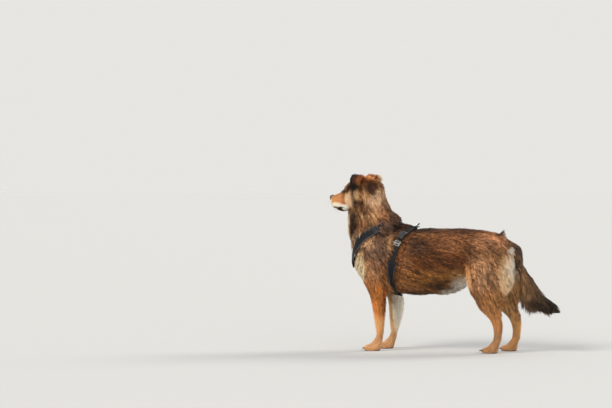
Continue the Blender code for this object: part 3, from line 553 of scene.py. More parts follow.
def faceZone(places):
    back, _, up = inHead(places).T
    eyes = (np.abs(back) < 0.022) & (np.abs(up) < 0.020) & (back < 0.015)
    muzzle = (back < -0.022) & (up < -0.050) & (up > -0.085)
    return eyes | muzzle | (back < -0.080)


def coatDepth(places, normals, owners):
    # how deep the skin lies under the coat's tips
    names = fleshParts[owners]
    depths = np.array([skinSettings["depths"][part] for part in fleshParts])[owners]
    onHead = np.isin(names, ["head", "lower_jaw"])
    least, more = skinSettings["shortDepth"]
    depths[onHead] = (least + more * blend(-0.02, 0.11, inHead(places)[:, 0]))[onHead]
    onTrunk, x = names == "trunk", places[:, 0]
    stretches = {
        "belly": onTrunk & (normals[:, 2] < -0.45) & (x > -0.2),
        "groin": onTrunk & (places[:, 2] < 0.335) & (x > 0.0) & (x < 0.15),
        "breast": onTrunk & (normals[:, 0] < -0.6),
        "rear": np.isin(names, ["thigh", "lower_leg"]) & (normals[:, 0] > 0.35),
        "fringe": (names == "forearm") & (normals[:, 0] > 0.5),
        "underTail": np.isin(names, ["tail_root", "tail_middle"]) & (normals[:, 2] < -0.2),
    }
    for name, inside in stretches.items():
        depths[inside] = skinSettings["deeper"][name]
    return depths


def buildSkin():
    s = skinSettings
    shell = buildShell()
    solids, owners = solidTree(fleshNodes)
    shellTree = treeOf(shell)
    mesh = refined(shell.copy())
    places, normals = placesOf(mesh), normalsOf(mesh)
    ends = readAll(mesh.edges, "vertices", 2, np.int32)
    owner = owners[nearestOn(solids, places)[2]]
    depths = eased(coatDepth(places, normals, owner), ends, s["depthRounds"])
    normals = unit(eased(normals, ends, s["normalRounds"]))
    depths = np.minimum(depths, s["mostInside"] * roomInside(shellTree, places, normals))
    depths = eased(depths, ends, s["thinRounds"])
    inner = eased(places - normals * depths[:, None], ends, s["skinRounds"])
    inner += lipPush(inner, normals) + toePush(places, normals)
    inner[:, 2] -= (inner[:, 2].min() - s["groundGap"]) * (1.0 - blend(0.0, 0.03, inner[:, 2]))
    setPlaces(mesh, inner)
    skin = makeObject("skin", mesh)
    skin.data.shade_smooth()
    print("skin has", len(mesh.polygons), "faces")
    return skin, shellTree, owner, depths


def roomInside(tree, places, normals):
    # half the thickness of the body at each place
    room = np.full(len(places), 0.05)
    starts = places - normals * 0.001
    for k, (start, way) in enumerate(zip(starts.tolist(), (-normals).tolist())):
        hit = tree.ray_cast(start, way, 0.1)[3]
        if hit is not None:
            room[k] = hit / 2
    return room


# Markings of the coat, with some painted shadow: soft patches laid over one another, most of them across
# both sides.
# Each has its name, its colour, its middle and its half sizes

bodyMarks = [
    ("ribs", (83, 48, 22), (0.00, 0, 0.44), (0.24, 0.3, 0.10)),
    ("behind the girth", (63, 42, 31), (-0.094, 0, 0.500), (0.060, 0.3, 0.042)),
    ("lower ribs", (109, 73, 36), (-0.03, 0, 0.35), (0.20, 0.3, 0.05)),
    ("back", (65, 44, 35), (0.02, 0, 0.60), (0.33, 0.09, 0.055)),
    ("front of the back", (36, 27, 25), (-0.095, 0, 0.590), (0.075, 0.10, 0.032)),
    ("belly edge", (59, 42, 25), (-0.10, 0, 0.268), (0.11, 0.3, 0.022)),
    ("upper flank", (128, 86, 58), (0.062, 0, 0.506), (0.070, 0.3, 0.036)),
    ("dark flank", (39, 26, 15), (-0.005, 0, 0.318), (0.040, 0.3, 0.024)),
    ("golden flank", (158, 116, 72), (0.090, 0, 0.355), (0.030, 0.3, 0.035)),
    ("shoulder", (98, 76, 64), (-0.30, 0, 0.495), (0.085, 0.3, 0.085)),
    ("upper shoulder", (75, 56, 46), (-0.27, 0, 0.575), (0.09, 0.3, 0.045)),
    ("behind the shoulder", (112, 74, 46), (-0.17, 0, 0.44), (0.05, 0.3, 0.10)),
    ("upper arm", (159, 119, 90), (-0.325, 0, 0.36), (0.05, 0.3, 0.07)),
    ("point of the shoulder", (255, 224, 172), (-0.384, 0, 0.385), (0.032, 0.3, 0.080)),
    ("elbow", (110, 76, 48), (-0.255, 0, 0.33), (0.03, 0.3, 0.06)),
    ("forearm", (174, 110, 55), (-0.315, 0, 0.22), (0.075, 0.3, 0.13)),
    ("lower forearm", (214, 158, 104), (-0.315, 0, 0.120), (0.060, 0.3, 0.055)),
    ("pastern", (158, 122, 92), (-0.33, 0, 0.040), (0.10, 0.3, 0.050)),
    ("back of the forearm", (100, 50, 17), (-0.262, -0.08, 0.25), (0.010, 0.04, 0.075)),
    ("far foreleg", (166, 138, 106), (-0.27, 0.085, 0.18), (0.05, 0.05, 0.18)),
    ("far fringe", (255, 246, 224), (-0.226, 0.085, 0.20), (0.030, 0.06, 0.12)),
    ("breast", (230, 214, 204), (-0.435, 0, 0.42), (0.035, 0.042, 0.055)),
    ("throat side", (42, 26, 15), (-0.425, 0, 0.605), (0.030, 0.3, 0.080)),
    ("throat", (232, 214, 180), (-0.470, 0, 0.59), (0.036, 0.046, 0.090)),
    ("neck", (204, 166, 134), (-0.315, 0, 0.728), (0.045, 0.3, 0.046)),
    ("behind the cheek", (188, 146, 108), (-0.362, 0, 0.744), (0.018, 0.3, 0.036)),
    ("behind the jaw", (24, 17, 13), (-0.384, 0, 0.698), (0.013, 0.3, 0.022)),
    ("lower neck", (184, 144, 108), (-0.345, 0, 0.655), (0.060, 0.3, 0.035)),
    ("base of the neck", (140, 102, 70), (-0.335, 0, 0.61), (0.055, 0.3, 0.020)),
    ("side of the neck", (80, 53, 33), (-0.364, 0, 0.664), (0.036, 0.3, 0.022)),
    ("front of the neck", (172, 144, 116), (-0.395, 0, 0.525), (0.032, 0.3, 0.036)),
    ("back of the head", (204, 138, 84), (-0.326, 0, 0.834), (0.036, 0.3, 0.018)),
    ("behind the ear", (62, 38, 22), (-0.334, 0, 0.772), (0.027, 0.3, 0.034)),
    ("nape", (98, 74, 58), (-0.256, 0, 0.722), (0.033, 0.3, 0.064)),
    ("behind the neck strap", (188, 148, 114), (-0.340, 0, 0.525), (0.034, 0.3, 0.036)),
    ("mane", (66, 47, 38), (-0.222, 0, 0.645), (0.040, 0.10, 0.035)),
    ("between the straps", (40, 28, 22), (-0.205, 0, 0.590), (0.050, 0.3, 0.022)),
    ("before the girth", (170, 130, 94), (-0.232, 0, 0.52), (0.013, 0.3, 0.045)),
    ("loin", (76, 51, 34), (0.155, 0, 0.46), (0.028, 0.3, 0.055)),
    ("croup", (156, 112, 84), (0.255, 0, 0.525), (0.090, 0.3, 0.045)),
    ("croup tuft", (30, 21, 17), (0.282, 0, 0.590), (0.030, 0.3, 0.040)),
    ("above the tail", (98, 70, 52), (0.332, 0, 0.512), (0.034, 0.3, 0.034)),
    ("rump", (121, 87, 60), (0.27, 0, 0.455), (0.10, 0.3, 0.06)),
    ("thigh", (158, 120, 92), (0.215, 0, 0.37), (0.075, 0.3, 0.085)),
    ("thigh front", (243, 166, 104), (0.145, 0, 0.345), (0.022, 0.3, 0.070)),
    ("thigh streak", (142, 106, 80), (0.278, 0, 0.335), (0.014, 0.3, 0.080)),
    ("white groin", (255, 246, 226), (0.107, 0, 0.304), (0.044, 0.3, 0.050)),
    ("white belly", (255, 246, 226), (0.070, 0, 0.262), (0.066, 0.3, 0.034)),
    ("trousers", (255, 206, 152), (0.335, 0, 0.36), (0.040, 0.3, 0.095)),
    ("white trousers", (255, 246, 228), (0.370, -0.090, 0.410), (0.034, 0.062, 0.070)),
    ("white trousers", (255, 246, 228), (0.370, 0.090, 0.410), (0.034, 0.062, 0.070)),
    ("behind, under the tail", (92, 70, 54), (0.360, 0, 0.430), (0.050, 0.026, 0.070)),
    ("white under the tail", (240, 232, 222), (0.350, -0.050, 0.482), (0.016, 0.035, 0.014)),
    ("gaskin", (164, 116, 74), (0.27, 0, 0.20), (0.08, 0.3, 0.10)),
    ("hind foot", (136, 104, 76), (0.26, 0, 0.04), (0.10, 0.3, 0.07)),
    ("far hind leg", (178, 136, 92), (0.33, 0.08, 0.22), (0.09, 0.06, 0.20)),
]
tailMarks = [
    ("tail", (73, 57, 45), (0.43, 0, 0.35), (0.40, 0.3, 0.40)),
    ("tail root", (60, 45, 37), (0.37, 0, 0.50), (0.06, 0.1, 0.05)),
    ("underside", (106, 82, 59), (0.405, 0, 0.315), (0.045, 0.1, 0.065)),
    ("top line", (42, 32, 26), (0.44, 0, 0.395), (0.022, 0.1, 0.075)),
    ("lower end", (46, 37, 28), (0.49, 0, 0.235), (0.05, 0.1, 0.05)),
    ("tip", (11, 8, 6), (0.545, 0, 0.225), (0.042, 0.1, 0.050)),
]
headMarks = [
    ("skull", (92, 64, 46), (0.085, 0, 0.055), (0.10, 0.3, 0.065)),
    ("forehead", (112, 82, 62), (0.030, 0, 0.046), (0.030, 0.3, 0.032)),
    # painted shadow: a dark band on the head where the ear casts its shade
    ("below the ear", (10, 7, 6), (0.060, 0, 0.022), (0.036, 0.3, 0.017)),
    ("between the ears", (236, 184, 132), (0.118, 0, 0.058), (0.038, 0.085, 0.036)),
    ("muzzle", (170, 121, 80), (-0.065, 0, -0.045), (0.060, 0.3, 0.040)),
    ("bridge", (142, 102, 68), (-0.045, 0, -0.010), (0.050, 0.012, 0.018)),
    ("brow", (158, 112, 74), (0.004, 0, 0.022), (0.016, 0.035, 0.010)),
    ("cheek", (242, 196, 150), (0.046, 0, -0.042), (0.036, 0.3, 0.036)),
    ("edge of the cheek", (8, 6, 5), (0.071, 0, -0.014), (0.0115, 0.3, 0.040)),
    ("golden cheek", (236, 186, 132), (0.092, 0, -0.020), (0.017, 0.3, 0.028)),
    ("jaw angle", (5, 4, 4), (0.082, 0, -0.064), (0.019, 0.3, 0.027)),
    ("behind the mouth", (255, 255, 248), (0.004, 0, -0.084), (0.024, 0.3, 0.016)),
    ("upper lip", (206, 197, 181), (-0.060, 0, -0.072), (0.055, 0.3, 0.014)),
    ("front of the muzzle", (186, 177, 166), (-0.108, 0, -0.060), (0.018, 0.3, 0.022)),
    ("chin", (184, 176, 164), (-0.085, 0, -0.092), (0.045, 0.3, 0.014)),
    ("lip line", (40, 30, 26), (-0.060, 0, -0.0800), (0.060, 0.3, 0.0030)),
    ("mouth corner", (16, 12, 10), (-0.040, 0, -0.0885), (0.021, 0.3, 0.0115)),
    ("throat latch", (96, 70, 50), (0.045, 0, -0.100), (0.060, 0.3, 0.018)),
    ("eye corner", (34, 25, 20), (0.001, 0, -0.003), (0.023, 0.3, 0.0095)),
    ("temple", (30, 23, 19), (0.030, 0, 0.010), (0.008, 0.3, 0.024)),
]
earMarks = [
    ("ear", (50, 26, 13), (0.09, 0, 0.05), (0.20, 0.3, 0.15)),
    ("back of the ear", (128, 78, 44), (0.128, 0, 0.050), (0.022, 0.3, 0.050)),
    ("front of the ear", (12, 8, 6), (0.064, 0, 0.048), (0.020, 0.3, 0.060)),
    ("front of the far ear", (132, 84, 54), (0.066, 0.050, 0.074), (0.026, 0.040, 0.022)),
    # the ear's tip is dark fur, darkened further as painted shadow along the ear's lower edge
    ("ear tip", (7, 4, 3), (0.090, 0, 0.012), (0.040, 0.3, 0.022)),
    ("back of the far ear", (240, 200, 158), (0.128, 0.075, 0.058), (0.030, 0.040, 0.034)),
    ("inside the ear", (118, 78, 48), (0.115, 0.050, 0.060), (0.030, 0.020, 0.030)),
]


colourSettings = {
    "base": (112, 76, 50),
    "patchEdge": (0.58, 1.38),  # where a patch starts to fade and where it ends
    "wander": (0.035, 0.006),  # the size of the waves in the patches' borders, and how far they stray
    "tints": ((1.07, 0.96, 0.80), (1.0, 0.99, 0.97)),  # of sunlight on dark hair and on pale
    "gains": (2.05, 1.30),  # of sunlight on dark hair, and what pale hair has beyond it
    "hueKept": 0.62,
    # bands along the hair: their cell, how many cells to each side, and how strong
    "fineStreaks": (0.0032, 10, 0.20),
    "broadStreaks": (0.0075, 7, 0.19),
    "darkHair": ((38, 26, 19), 0.55),  # the strongest of the bands, and how much of it they have
    "goldHair": ((186, 134, 82), 0.30),
    "lockTone": 0.10,  # how much brightness differs between locks, and between tufts
    "tuftTone": 0.13,
    "tipTones": ([0.55, 1.0, 1.35], [0.20, 0.50, 0.30]),  # and how often each comes
    "brightest": (0.92, 0.96),  # of any colour, and of a tip
}


def painted(colour, marks, places, wander):
    # the patches laid over the colour in turn
    shifted = places + wander
    for _, paint, middle, reach in marks:
        share = 1.0 - blend(*colourSettings["patchEdge"], farFrom(shifted, middle, reach))
        colour = colour + (linear(paint) - colour) * share[:, None]
    return colour


def coatColour(places, owners):
    # the coat's colour at places on the body, with ragged borders between its patches
    s = colourSettings
    parts = fleshParts[owners]
    size, stray = s["wander"]
    wander = np.stack([waves(places, size, seed) for seed in (1, 2, 3)], axis=1) * stray
    h = inHead(places)
    colour = np.tile(linear(s["base"]), (len(places), 1))
    colour = painted(colour, bodyMarks, places, wander)
    tail = painted(colour, tailMarks, places, wander)
    onTail = np.char.startswith(parts, "tail")
    colour[onTail] = tail[onTail]
    face = painted(colour, headMarks, h, wander * 0.35)
    share = 1.0 - blend(0.075, 0.135, h[:, 0] + 0.35 * np.maximum(-h[:, 2] - 0.05, 0))
    share *= blend(-0.135, -0.11, h[:, 2]) * np.isin(parts, ["head", "lower_jaw", "neck"])
    colour += (face - colour) * share[:, None]
    ears = painted(colour, earMarks, h, wander * 0.3)
    colour[parts == "ear"] = ears[parts == "ear"]
    # sunlit, and no brighter than hair is, its hue mostly kept
    pale = blend(0.20, 0.55, colour.mean(axis=1))[:, None]
    warm, plain = (np.array(tint) for tint in s["tints"])
    bright = np.maximum(colour.max(axis=1), 1e-4)[:, None]
    gain = s["gains"][0] + s["gains"][1] * pale
    kept = colour * (1.0 - np.exp(-gain * bright)) / bright
    lit = s["hueKept"] * kept + (1.0 - s["hueKept"]) * (1.0 - np.exp(-gain * colour))
    return (warm * (1.0 - pale) + plain * pale) * lit


def heldBack(colour, most):
    # no channel above that, the hue kept
    return colour * np.minimum(1.0, most / np.maximum(colour.max(axis=1), 1e-4))[:, None]


def streaked(colour, places, lie, depths):
    # darker and more golden bands along the hair, stronger where it is long
    s = colourSettings
    much = blend(0.0015, 0.014, depths)
    fine = streaks(places, lie, *s["fineStreaks"][:2], 21)
    broad = streaks(places, lie, *s["broadStreaks"][:2], 22)
    strength = s["fineStreaks"][2] * fine + s["broadStreaks"][2] * broad
    colour = colour * np.exp(strength * (0.35 + 0.65 * much))[:, None]
    bright = colour.mean(axis=1)
    dark = blend(0.9, 2.2, -(fine + broad) / 1.4) * much * (1.0 - blend(0.25, 0.5, bright))
    gold = blend(0.9, 2.2, (fine - 0.5 * broad) / 1.1) * much * (1.0 - blend(0.20, 0.4, bright))
    for (paint, most), share in ((s["darkHair"], dark), (s["goldHair"], gold)):
        colour = colour + (linear(paint) - colour) * (share * most)[:, None]
    return colour


# Lie of the coat: at a place on the left side, the way that the hair lies

bodyLies = [
    ((-0.42, 0.00, 0.70), (0.10, 0.0, -1.0)), ((-0.45, 0.00, 0.58), (0.05, 0.0, -1.0)),
    ((-0.43, 0.00, 0.46), (0.10, 0.0, -1.0)), ((-0.41, -0.05, 0.36), (0.35, 0.0, -1.0)),
    ((-0.36, -0.09, 0.72), (0.30, 0.0, -0.95)), ((-0.34, -0.10, 0.63), (0.55, -0.1, -0.80)),
    ((-0.40, -0.09, 0.56), (0.25, 0.0, -0.95)), ((-0.27, -0.02, 0.76), (0.30, 0.0, -0.95)),
    ((-0.24, -0.03, 0.67), (0.65, 0.0, -0.70)), ((-0.15, 0.00, 0.60), (1.00, 0.0, -0.10)),
    ((0.00, 0.00, 0.59), (1.00, 0.0, 0.00)), ((0.18, 0.00, 0.59), (1.00, 0.0, -0.08)),
    ((0.32, 0.00, 0.55), (0.80, 0.0, -0.60)), ((-0.30, -0.11, 0.50), (0.55, 0.0, -0.83)),
    ((-0.33, -0.11, 0.40), (0.35, 0.0, -0.93)), ((-0.22, -0.12, 0.55), (0.80, -0.1, -0.55)),
    ((-0.15, -0.13, 0.46), (0.95, 0.0, -0.28)), ((0.05, -0.12, 0.46), (0.98, 0.0, -0.18)),
    ((-0.15, -0.12, 0.34), (0.92, 0.0, -0.35)), ((0.03, -0.10, 0.36), (0.90, 0.0, -0.42)),
    ((-0.08, -0.03, 0.27), (0.80, 0.0, -0.60)), ((0.08, -0.04, 0.30), (0.45, 0.0, -0.90)),
    ((0.16, -0.11, 0.48), (0.88, 0.0, -0.45)), ((0.24, -0.12, 0.50), (0.75, 0.0, -0.65)),
    ((0.22, -0.13, 0.40), (0.40, 0.0, -0.92)), ((0.20, -0.12, 0.31), (0.42, 0.0, -0.90)),
    ((0.34, -0.08, 0.45), (0.35, 0.0, -0.93)), ((0.35, -0.07, 0.34), (0.45, 0.0, -0.90)),
    ((0.13, -0.10, 0.35), (0.30, 0.0, -0.95)), ((0.27, -0.08, 0.22), (0.35, 0.0, -0.94)),
    ((0.29, -0.08, 0.12), (-0.05, 0.0, -1.0)), ((0.26, -0.08, 0.03), (-0.80, 0.0, -0.45)),
    ((-0.31, -0.08, 0.28), (0.20, 0.0, -1.0)), ((-0.30, -0.08, 0.14), (0.08, 0.0, -1.0)),
    ((-0.33, -0.08, 0.03), (-0.80, 0.0, -0.45)),
]
tailLies = [
    ((0.34, 0.0, 0.50), (0.60, 0.0, -0.80)), ((0.38, 0.0, 0.42), (0.25, 0.0, -0.97)),
    ((0.40, 0.0, 0.33), (0.45, 0.0, -0.89)), ((0.44, 0.0, 0.29), (0.65, 0.0, -0.76)),
    ((0.50, 0.0, 0.24), (0.82, 0.0, -0.57)), ((0.55, 0.0, 0.21), (0.85, 0.0, -0.52)),
]


def fromGuides(places, guides, mirror):
    # the guides' directions, each weighing more the nearer it is
    total = np.zeros_like(places)
    for where, way in guides:
        for flip in flips(mirror):
            far = ((places - where * flip) ** 2).sum(axis=1)
            total += (1.0 / (far + 0.0006) ** 2)[:, None] * unit(way * flip)
    return unit(total)


def coatLie(places, normals, owners):
    # the way that the hair lies along the skin
    parts = fleshParts[owners]
    lie = fromGuides(places, bodyLies, True)
    onTail = np.char.startswith(parts, "tail")
    lie[onTail] = fromGuides(places[onTail], tailLies, False)
    h = inHead(places)
    fromNose = unit(h - np.array((-0.125, 0.0, -0.045))) @ headAxes
    share = 1.0 - blend(0.05, 0.14, h[:, 0])
    share = np.where(np.isin(parts, ["head", "lower_jaw"]), share, 0.0)[:, None]
    lie = unit(lie + (fromNose - lie) * share)
    lie[parts == "ear"] = unit(np.array((-0.10, 0.0, -1.0)) @ headAxes)
    lie -= normals * (lie * normals).sum(axis=1)[:, None]
    return unit(lie)


# Coat: tapered tufts, rooted in the skin and bent along its lie

coatSettings = {
    "perSquareMetre": {
        "trunk": 110500, "neck": 98000, "head": 170000, "lower_jaw": 260000, "ear": 150000,
        "upper_arm": 120000, "forearm": 90000, "forepaw": 170000,
        "thigh": 112000, "lower_leg": 90000, "hind_foot": 150000,
        "tail_root": 100000, "tail_middle": 100000, "tail_tip": 110000,
    },
    "lockEvery": 13,  # tufts to a lock
    "levels": (0.36, 0.72, 1.0),  # of a tuft above its root, as shares of its length
    # by the number of a tuft's rings: their shares of its width, and of its tip's colour
    "rings": {
        3: ([0.9, 0.8, 0.0], [0.0, 0.6, 1.0]),
        4: ([0.75, 1.0, 0.62, 0.0], [0.0, 0.3, 0.7, 1.0]),
    },
    "thick": 0.55,  # of half its width
    # bands of tufts that stand higher: their cell, how many cells to each side, and their share
    "ridges": ((0.0040, 4, 0.6), (0.0100, 3, 0.8)),
    "rise": (0.86, 0.13),  # how much of the coat's depth a tuft rises through, and what ridges add
    "rootSunk": 0.0008,
    "length": (0.0052, 2.05),  # the least, and times the depth of the coat
    "width": (0.00058, 0.0020),  # of short hair, and what long hair adds
    "pull": (0.12, 0.55),  # to the middle of the lock: of short hair, and what long hair adds
    "curl": 0.0028,
    "sag": 0.12,  # of a fringe under its weight
    "groundGap": 0.0012,
    "faceDensity": 1.5,  # how much denser the tufts are at the face
    "fringeDensity": 0.5,
    "noseFrom": -0.104,  # no tufts before this place in the head's frame
    "facesToPiece": 190000,
    "pieces": {  # the parts that each covers, and the rings of its tufts
        "coatHead": (["head", "lower_jaw"], 3),
        "coatEars": (["ear"], 3),
        "coatNeck": (["neck"], 4),
        "coatTrunk": (["trunk"], 3),
        "coatShoulders": (["upper_arm"], 3),
        "coatForelegs": (["forearm", "forepaw"], 3),
        "coatThighs": (["thigh"], 3),
        "coatHindlegs": (["lower_leg", "hind_foot"], 3),
        "coatTail": (["tail_root", "tail_middle", "tail_tip"], 4),
    },
    # longer hair that stands off the body: its middle, half sizes, length, how far it
    # leaves the surface, and its way; those of the head are in the head's own frame
    "fringes": [
        ((-0.236, 0, 0.646), (0.040, 0.070, 0.030), 0.046, 0.80, (0.88, 0, 0.30)),
        ((-0.440, 0, 0.425), (0.045, 0.055, 0.065), 0.045, 0.45, (-0.15, 0, -0.9)),
        ((-0.262, -0.105, 0.315), (0.032, 0.055, 0.045), 0.050, 0.40, (0.70, -0.12, -0.65)),
        ((0.078, -0.05, 0.300), (0.080, 0.08, 0.045), 0.044, 0.30, (0.62, 0, -0.80)),
        ((-0.080, 0, 0.268), (0.100, 0.07, 0.022), 0.036, 0.35, (0.60, 0, -0.7)),
        ((0.358, -0.075, 0.385), (0.030, 0.055, 0.105), 0.056, 0.40, (0.60, 0, -0.8)),
        ((0.270, 0, 0.566), (0.015, 0.030, 0.026), 0.058, 1.0, (0.62, 0, 0.80)),
        ((-0.240, 0.085, 0.215), (0.022, 0.060, 0.100), 0.038, 0.60, (0.85, 0.1, -0.45)),
        ((0.330, -0.075, 0.150), (0.020, 0.060, 0.060), 0.024, 0.50, (0.75, 0, -0.6)),
        ((0.455, 0, 0.240), (0.060, 0.060, 0.045), 0.080, 0.55, (0.45, 0, -0.90)),
        ((0.404, 0, 0.290), (0.036, 0.050, 0.056), 0.108, 0.62, (-0.10, 0, -1.0)),
        ((0.415, 0, 0.370), (0.030, 0.050, 0.060), 0.050, 0.35, (0.55, 0, -0.82)),
    ],
    "headFringes": [
        ((0.090, -0.062, 0.082), (0.045, 0.040, 0.018), 0.016, 0.70, (0.60, -0.30, 0.80)),
        ((0.128, -0.075, 0.020), (0.026, 0.045, 0.050), 0.034, 0.60, (0.60, -0.30, -0.70)),
        ((0.106, 0, 0.058), (0.040, 0.045, 0.035), 0.036, 0.75, (0.65, 0, 0.95)),
        ((0.100, -0.066, 0.028), (0.036, 0.024, 0.032), 0.028, 0.70, (0.45, -0.90, -0.25)),
        ((0.120, -0.070, 0.045), (0.034, 0.035, 0.045), 0.030, 0.75, (0.75, -0.35, 0.30)),
        ((0.100, -0.075, -0.030), (0.035, 0.040, 0.045), 0.034, 0.40, (0.50, -0.40, -0.75)),
        ((0.060, -0.055, -0.075), (0.035, 0.040, 0.030), 0.028, 0.40, (0.40, -0.25, -0.85)),
    ],
    # places where the hair runs out over the harness, and how high
    "over": [
        ((-0.225, 0, 0.635), (0.050, 0.090, 0.036), 0.011),
        ((-0.278, -0.086, 0.606), (0.044, 0.040, 0.030), 0.010),
        ((-0.185, 0, 0.605), (0.045, 0.050, 0.030), 0.013),
        ((-0.245, -0.110, 0.310), (0.030, 0.060, 0.036), 0.007),
        ((-0.425, 0, 0.425), (0.030, 0.040, 0.030), 0.006),
    ],
    # of the hair that meets a strap, the share that falls over its edge, and how high
    "overEdges": (0.14, 0.0095),
    # thinner hair: middle, half sizes, share left
    "sparse": [((0.080, 0, 0.300), (0.075, 0.3, 0.036), 0.50)],
}


def softShare(places, middle, reach):
    # 1 within the soft patch, 0 beyond it, on both sides where its middle is on the left
    far = [farFrom(places, middle * flip, reach) for flip in flips(middle[1] < 0)]
    return 1.0 - blend(0.6, 1.25, np.min(far, axis=0))


def sowRoots(mesh, fields, density):
    # random places over the mesh, about that many to the square metre, with the fields there
    corners, places = readAll(mesh.polygons, "vertices", 3, np.int32), placesOf(mesh)
    a, b, c = (places[corners[:, k]] for k in range(3))
    area = np.linalg.norm(np.cross(b - a, c - a), axis=1) / 2
    wanted = area * density[corners].mean(axis=1)
    count = np.floor(wanted + chance.random(len(wanted))).astype(int)
    face = np.repeat(np.arange(len(corners)), count)
    u, v = chance.random(len(face)), chance.random(len(face))
    flip = u + v > 1
    u, v = np.where(flip, 1 - u, u), np.where(flip, 1 - v, v)
    shares = np.stack([1 - u - v, u, v], axis=1)
    sown = {"place": (places[corners[face]] * shares[:, :, None]).sum(axis=1)}
    for name, field in fields.items():
        if field.dtype.kind == "f":
            value = field[corners[face]]
            weights = shares if field.ndim == 1 else shares[:, :, None]
            sown[name] = (value * weights).sum(axis=1)
        else:
            sown[name] = field[corners[face, 0]]
    return sown


def nearestLock(places, every):
    # the index of the nearest of the tufts picked as a lock's middle
    picked = chance.permutation(len(places))[: max(1, len(places) // every)]
    tree = KDTree(len(picked))
    for k, place in enumerate(places[picked].tolist()):
        tree.insert(place, k)
    tree.balance()
    nearest = np.array([tree.find(place)[1] for place in places.tolist()])
    return picked[nearest]


def fringeShares(places):
    # for each fringe its share at the places, its length, its stand-off and its way there
    found = []
    for key, local, axes in (("fringes", places, np.eye(3)), ("headFringes", inHead(places), headAxes)):
        for middle, reach, length, stand, way in coatSettings[key]:
            for flip in flips(middle[1] < 0):
                share = 1.0 - blend(0.6, 1.25, farFrom(local, middle * flip, reach))
                found.append((share, length, stand, unit(way * flip) @ axes))
    return found


def layTufts(roots, shellTree, strapTree):
    # each tuft's centre line: places at four levels from root to tip, and the outward way at each
    s = coatSettings
    place, normal, depth, lie = (roots[k] for k in ("place", "normal", "depth", "lie"))
    count = len(place)
    length = (s["length"][0] + s["length"][1] * depth) * chance.uniform(0.75, 1.2, count)
    ridge = np.zeros(count)
    for seed, (cell, half, share) in enumerate(s["ridges"], 31):
        ridge += share * streaks(place, lie, cell, half, seed)
    reach = np.clip(s["rise"][0] + s["rise"][1] * ridge, 0.5, 1.16) * chance.uniform(0.86, 1.04, count)
    side = np.cross(normal, lie)
    turn = (0.07 + 0.09 * blend(0.004, 0.02, depth)) * waves(place, 0.05, 11)
    turn += chance.normal(0.0, 0.07, count)
    lie = unit(lie * np.cos(turn)[:, None] + side * np.sin(turn)[:, None])
    along = np.sqrt(np.maximum(length**2 - (depth * reach) ** 2, (0.3 * length) ** 2))
    tips = place + normal * depth[:, None] + lie * along[:, None]
    over, under, meets = underStraps(place, tips, depth, strapTree)
    along *= 1.0 - 0.45 * np.maximum(meets, under)
    lines, outs = [place - normal * s["rootSunk"]], [normal]
    for level in s["levels"]:
        aim = place + lie * (along * level)[:, None]
        near, out, _, _ = nearestOn(shellTree, aim)
        rise = (1.0 - (1.0 - level) ** 1.7) * reach
        rise = np.where(over > 0.001, np.maximum(rise, blend(0.0, 0.5, level)), rise)
        target = near - out * (depth * (1.0 - rise) + 0.0035 * under * level - over)[:, None]
        far = np.linalg.norm(target - aim, axis=1)
        lines.append(np.where((far < depth * 1.6 + 0.006)[:, None], target, aim))
        outs.append(out)
    lines, outs = np.stack(lines, axis=1), np.stack(outs, axis=1)
    lock = nearestLock(place, s["lockEvery"])
    standOff(lines, place, normal, lock, 1.0 - np.maximum(meets, under))
    near = np.linalg.norm(place - place[lock], axis=1) < 0.02
    near &= (normal * normal[lock]).sum(axis=1) > 0.5
    pull = np.where(near, s["pull"][0] + s["pull"][1] * blend(0.003, 0.018, depth), 0.0)
    pull *= chance.uniform(0.5, 1.0, count)
    for level, share in ((2, 0.45), (3, 1.0)):
        lines[:, level] += (lines[lock, level] - lines[:, level]) * (pull * share)[:, None]
    curl = s["curl"] * blend(0.010, 0.024, depth) * np.sin(waves(place, 0.02, 12) * 3.0)
    lines[:, 2] += side * curl[:, None]
    lines[:, 3] -= side * curl[:, None]
    lines[:, :, 2] = np.maximum(lines[:, :, 2], s["groundGap"])
    return lines, outs, lock


def underStraps(place, tips, depth, strapTree):
    # how high each tuft runs over the harness, and how much its root and its tip lie under it
    s, count = coatSettings, len(place)
    atRoot, atTip = nearestOn(strapTree, place)[3], nearestOn(strapTree, tips)[3]
    over = np.max([softShare(place, middle, reach) * high for middle, reach, high in s["over"]], axis=0)
    over *= chance.uniform(0.5, 1.0, count)
    clear = blend(0.002, 0.010, atRoot - depth) * (1.0 - blend(0.002, 0.016, atTip))
    loose = (chance.random(count) < s["overEdges"][0]) & (depth > 0.008)
    over = np.maximum(over, s["overEdges"][1] * clear * loose)
    bound = 1.0 - blend(0.001, 0.004, over)
    under = (1.0 - blend(0.004, 0.012, atRoot - depth)) * bound
    return over, under, (1.0 - blend(0.003, 0.016, atTip)) * bound


def standOff(lines, place, normal, lock, free):
    # the fringes' tufts led off the body, a whole lock alike
    count = len(place)
    for share, fringe, stand, way in fringeShares(place):
        share = share * (0.5 + 0.5 * chance.random(count)[lock]) * free
        inside = np.nonzero(share > 0.02)[0]
        size = (fringe * chance.uniform(0.7, 1.15, count))[inside, None]
        out = normal[inside]
        ahead = unit(way - out * np.minimum((way * out).sum(axis=1), 0.0)[:, None] + out * 0.25 * stand)
        for k, level in enumerate(coatSettings["levels"], 1):
            aim = place[inside] + ahead * size * level
            aim -= np.array((0, 0, coatSettings["sag"])) * size * level**2
            led = (share[inside] * stand * (0.4 + 0.6 * level))[:, None]
            lines[inside, k] += (aim - lines[inside, k]) * led


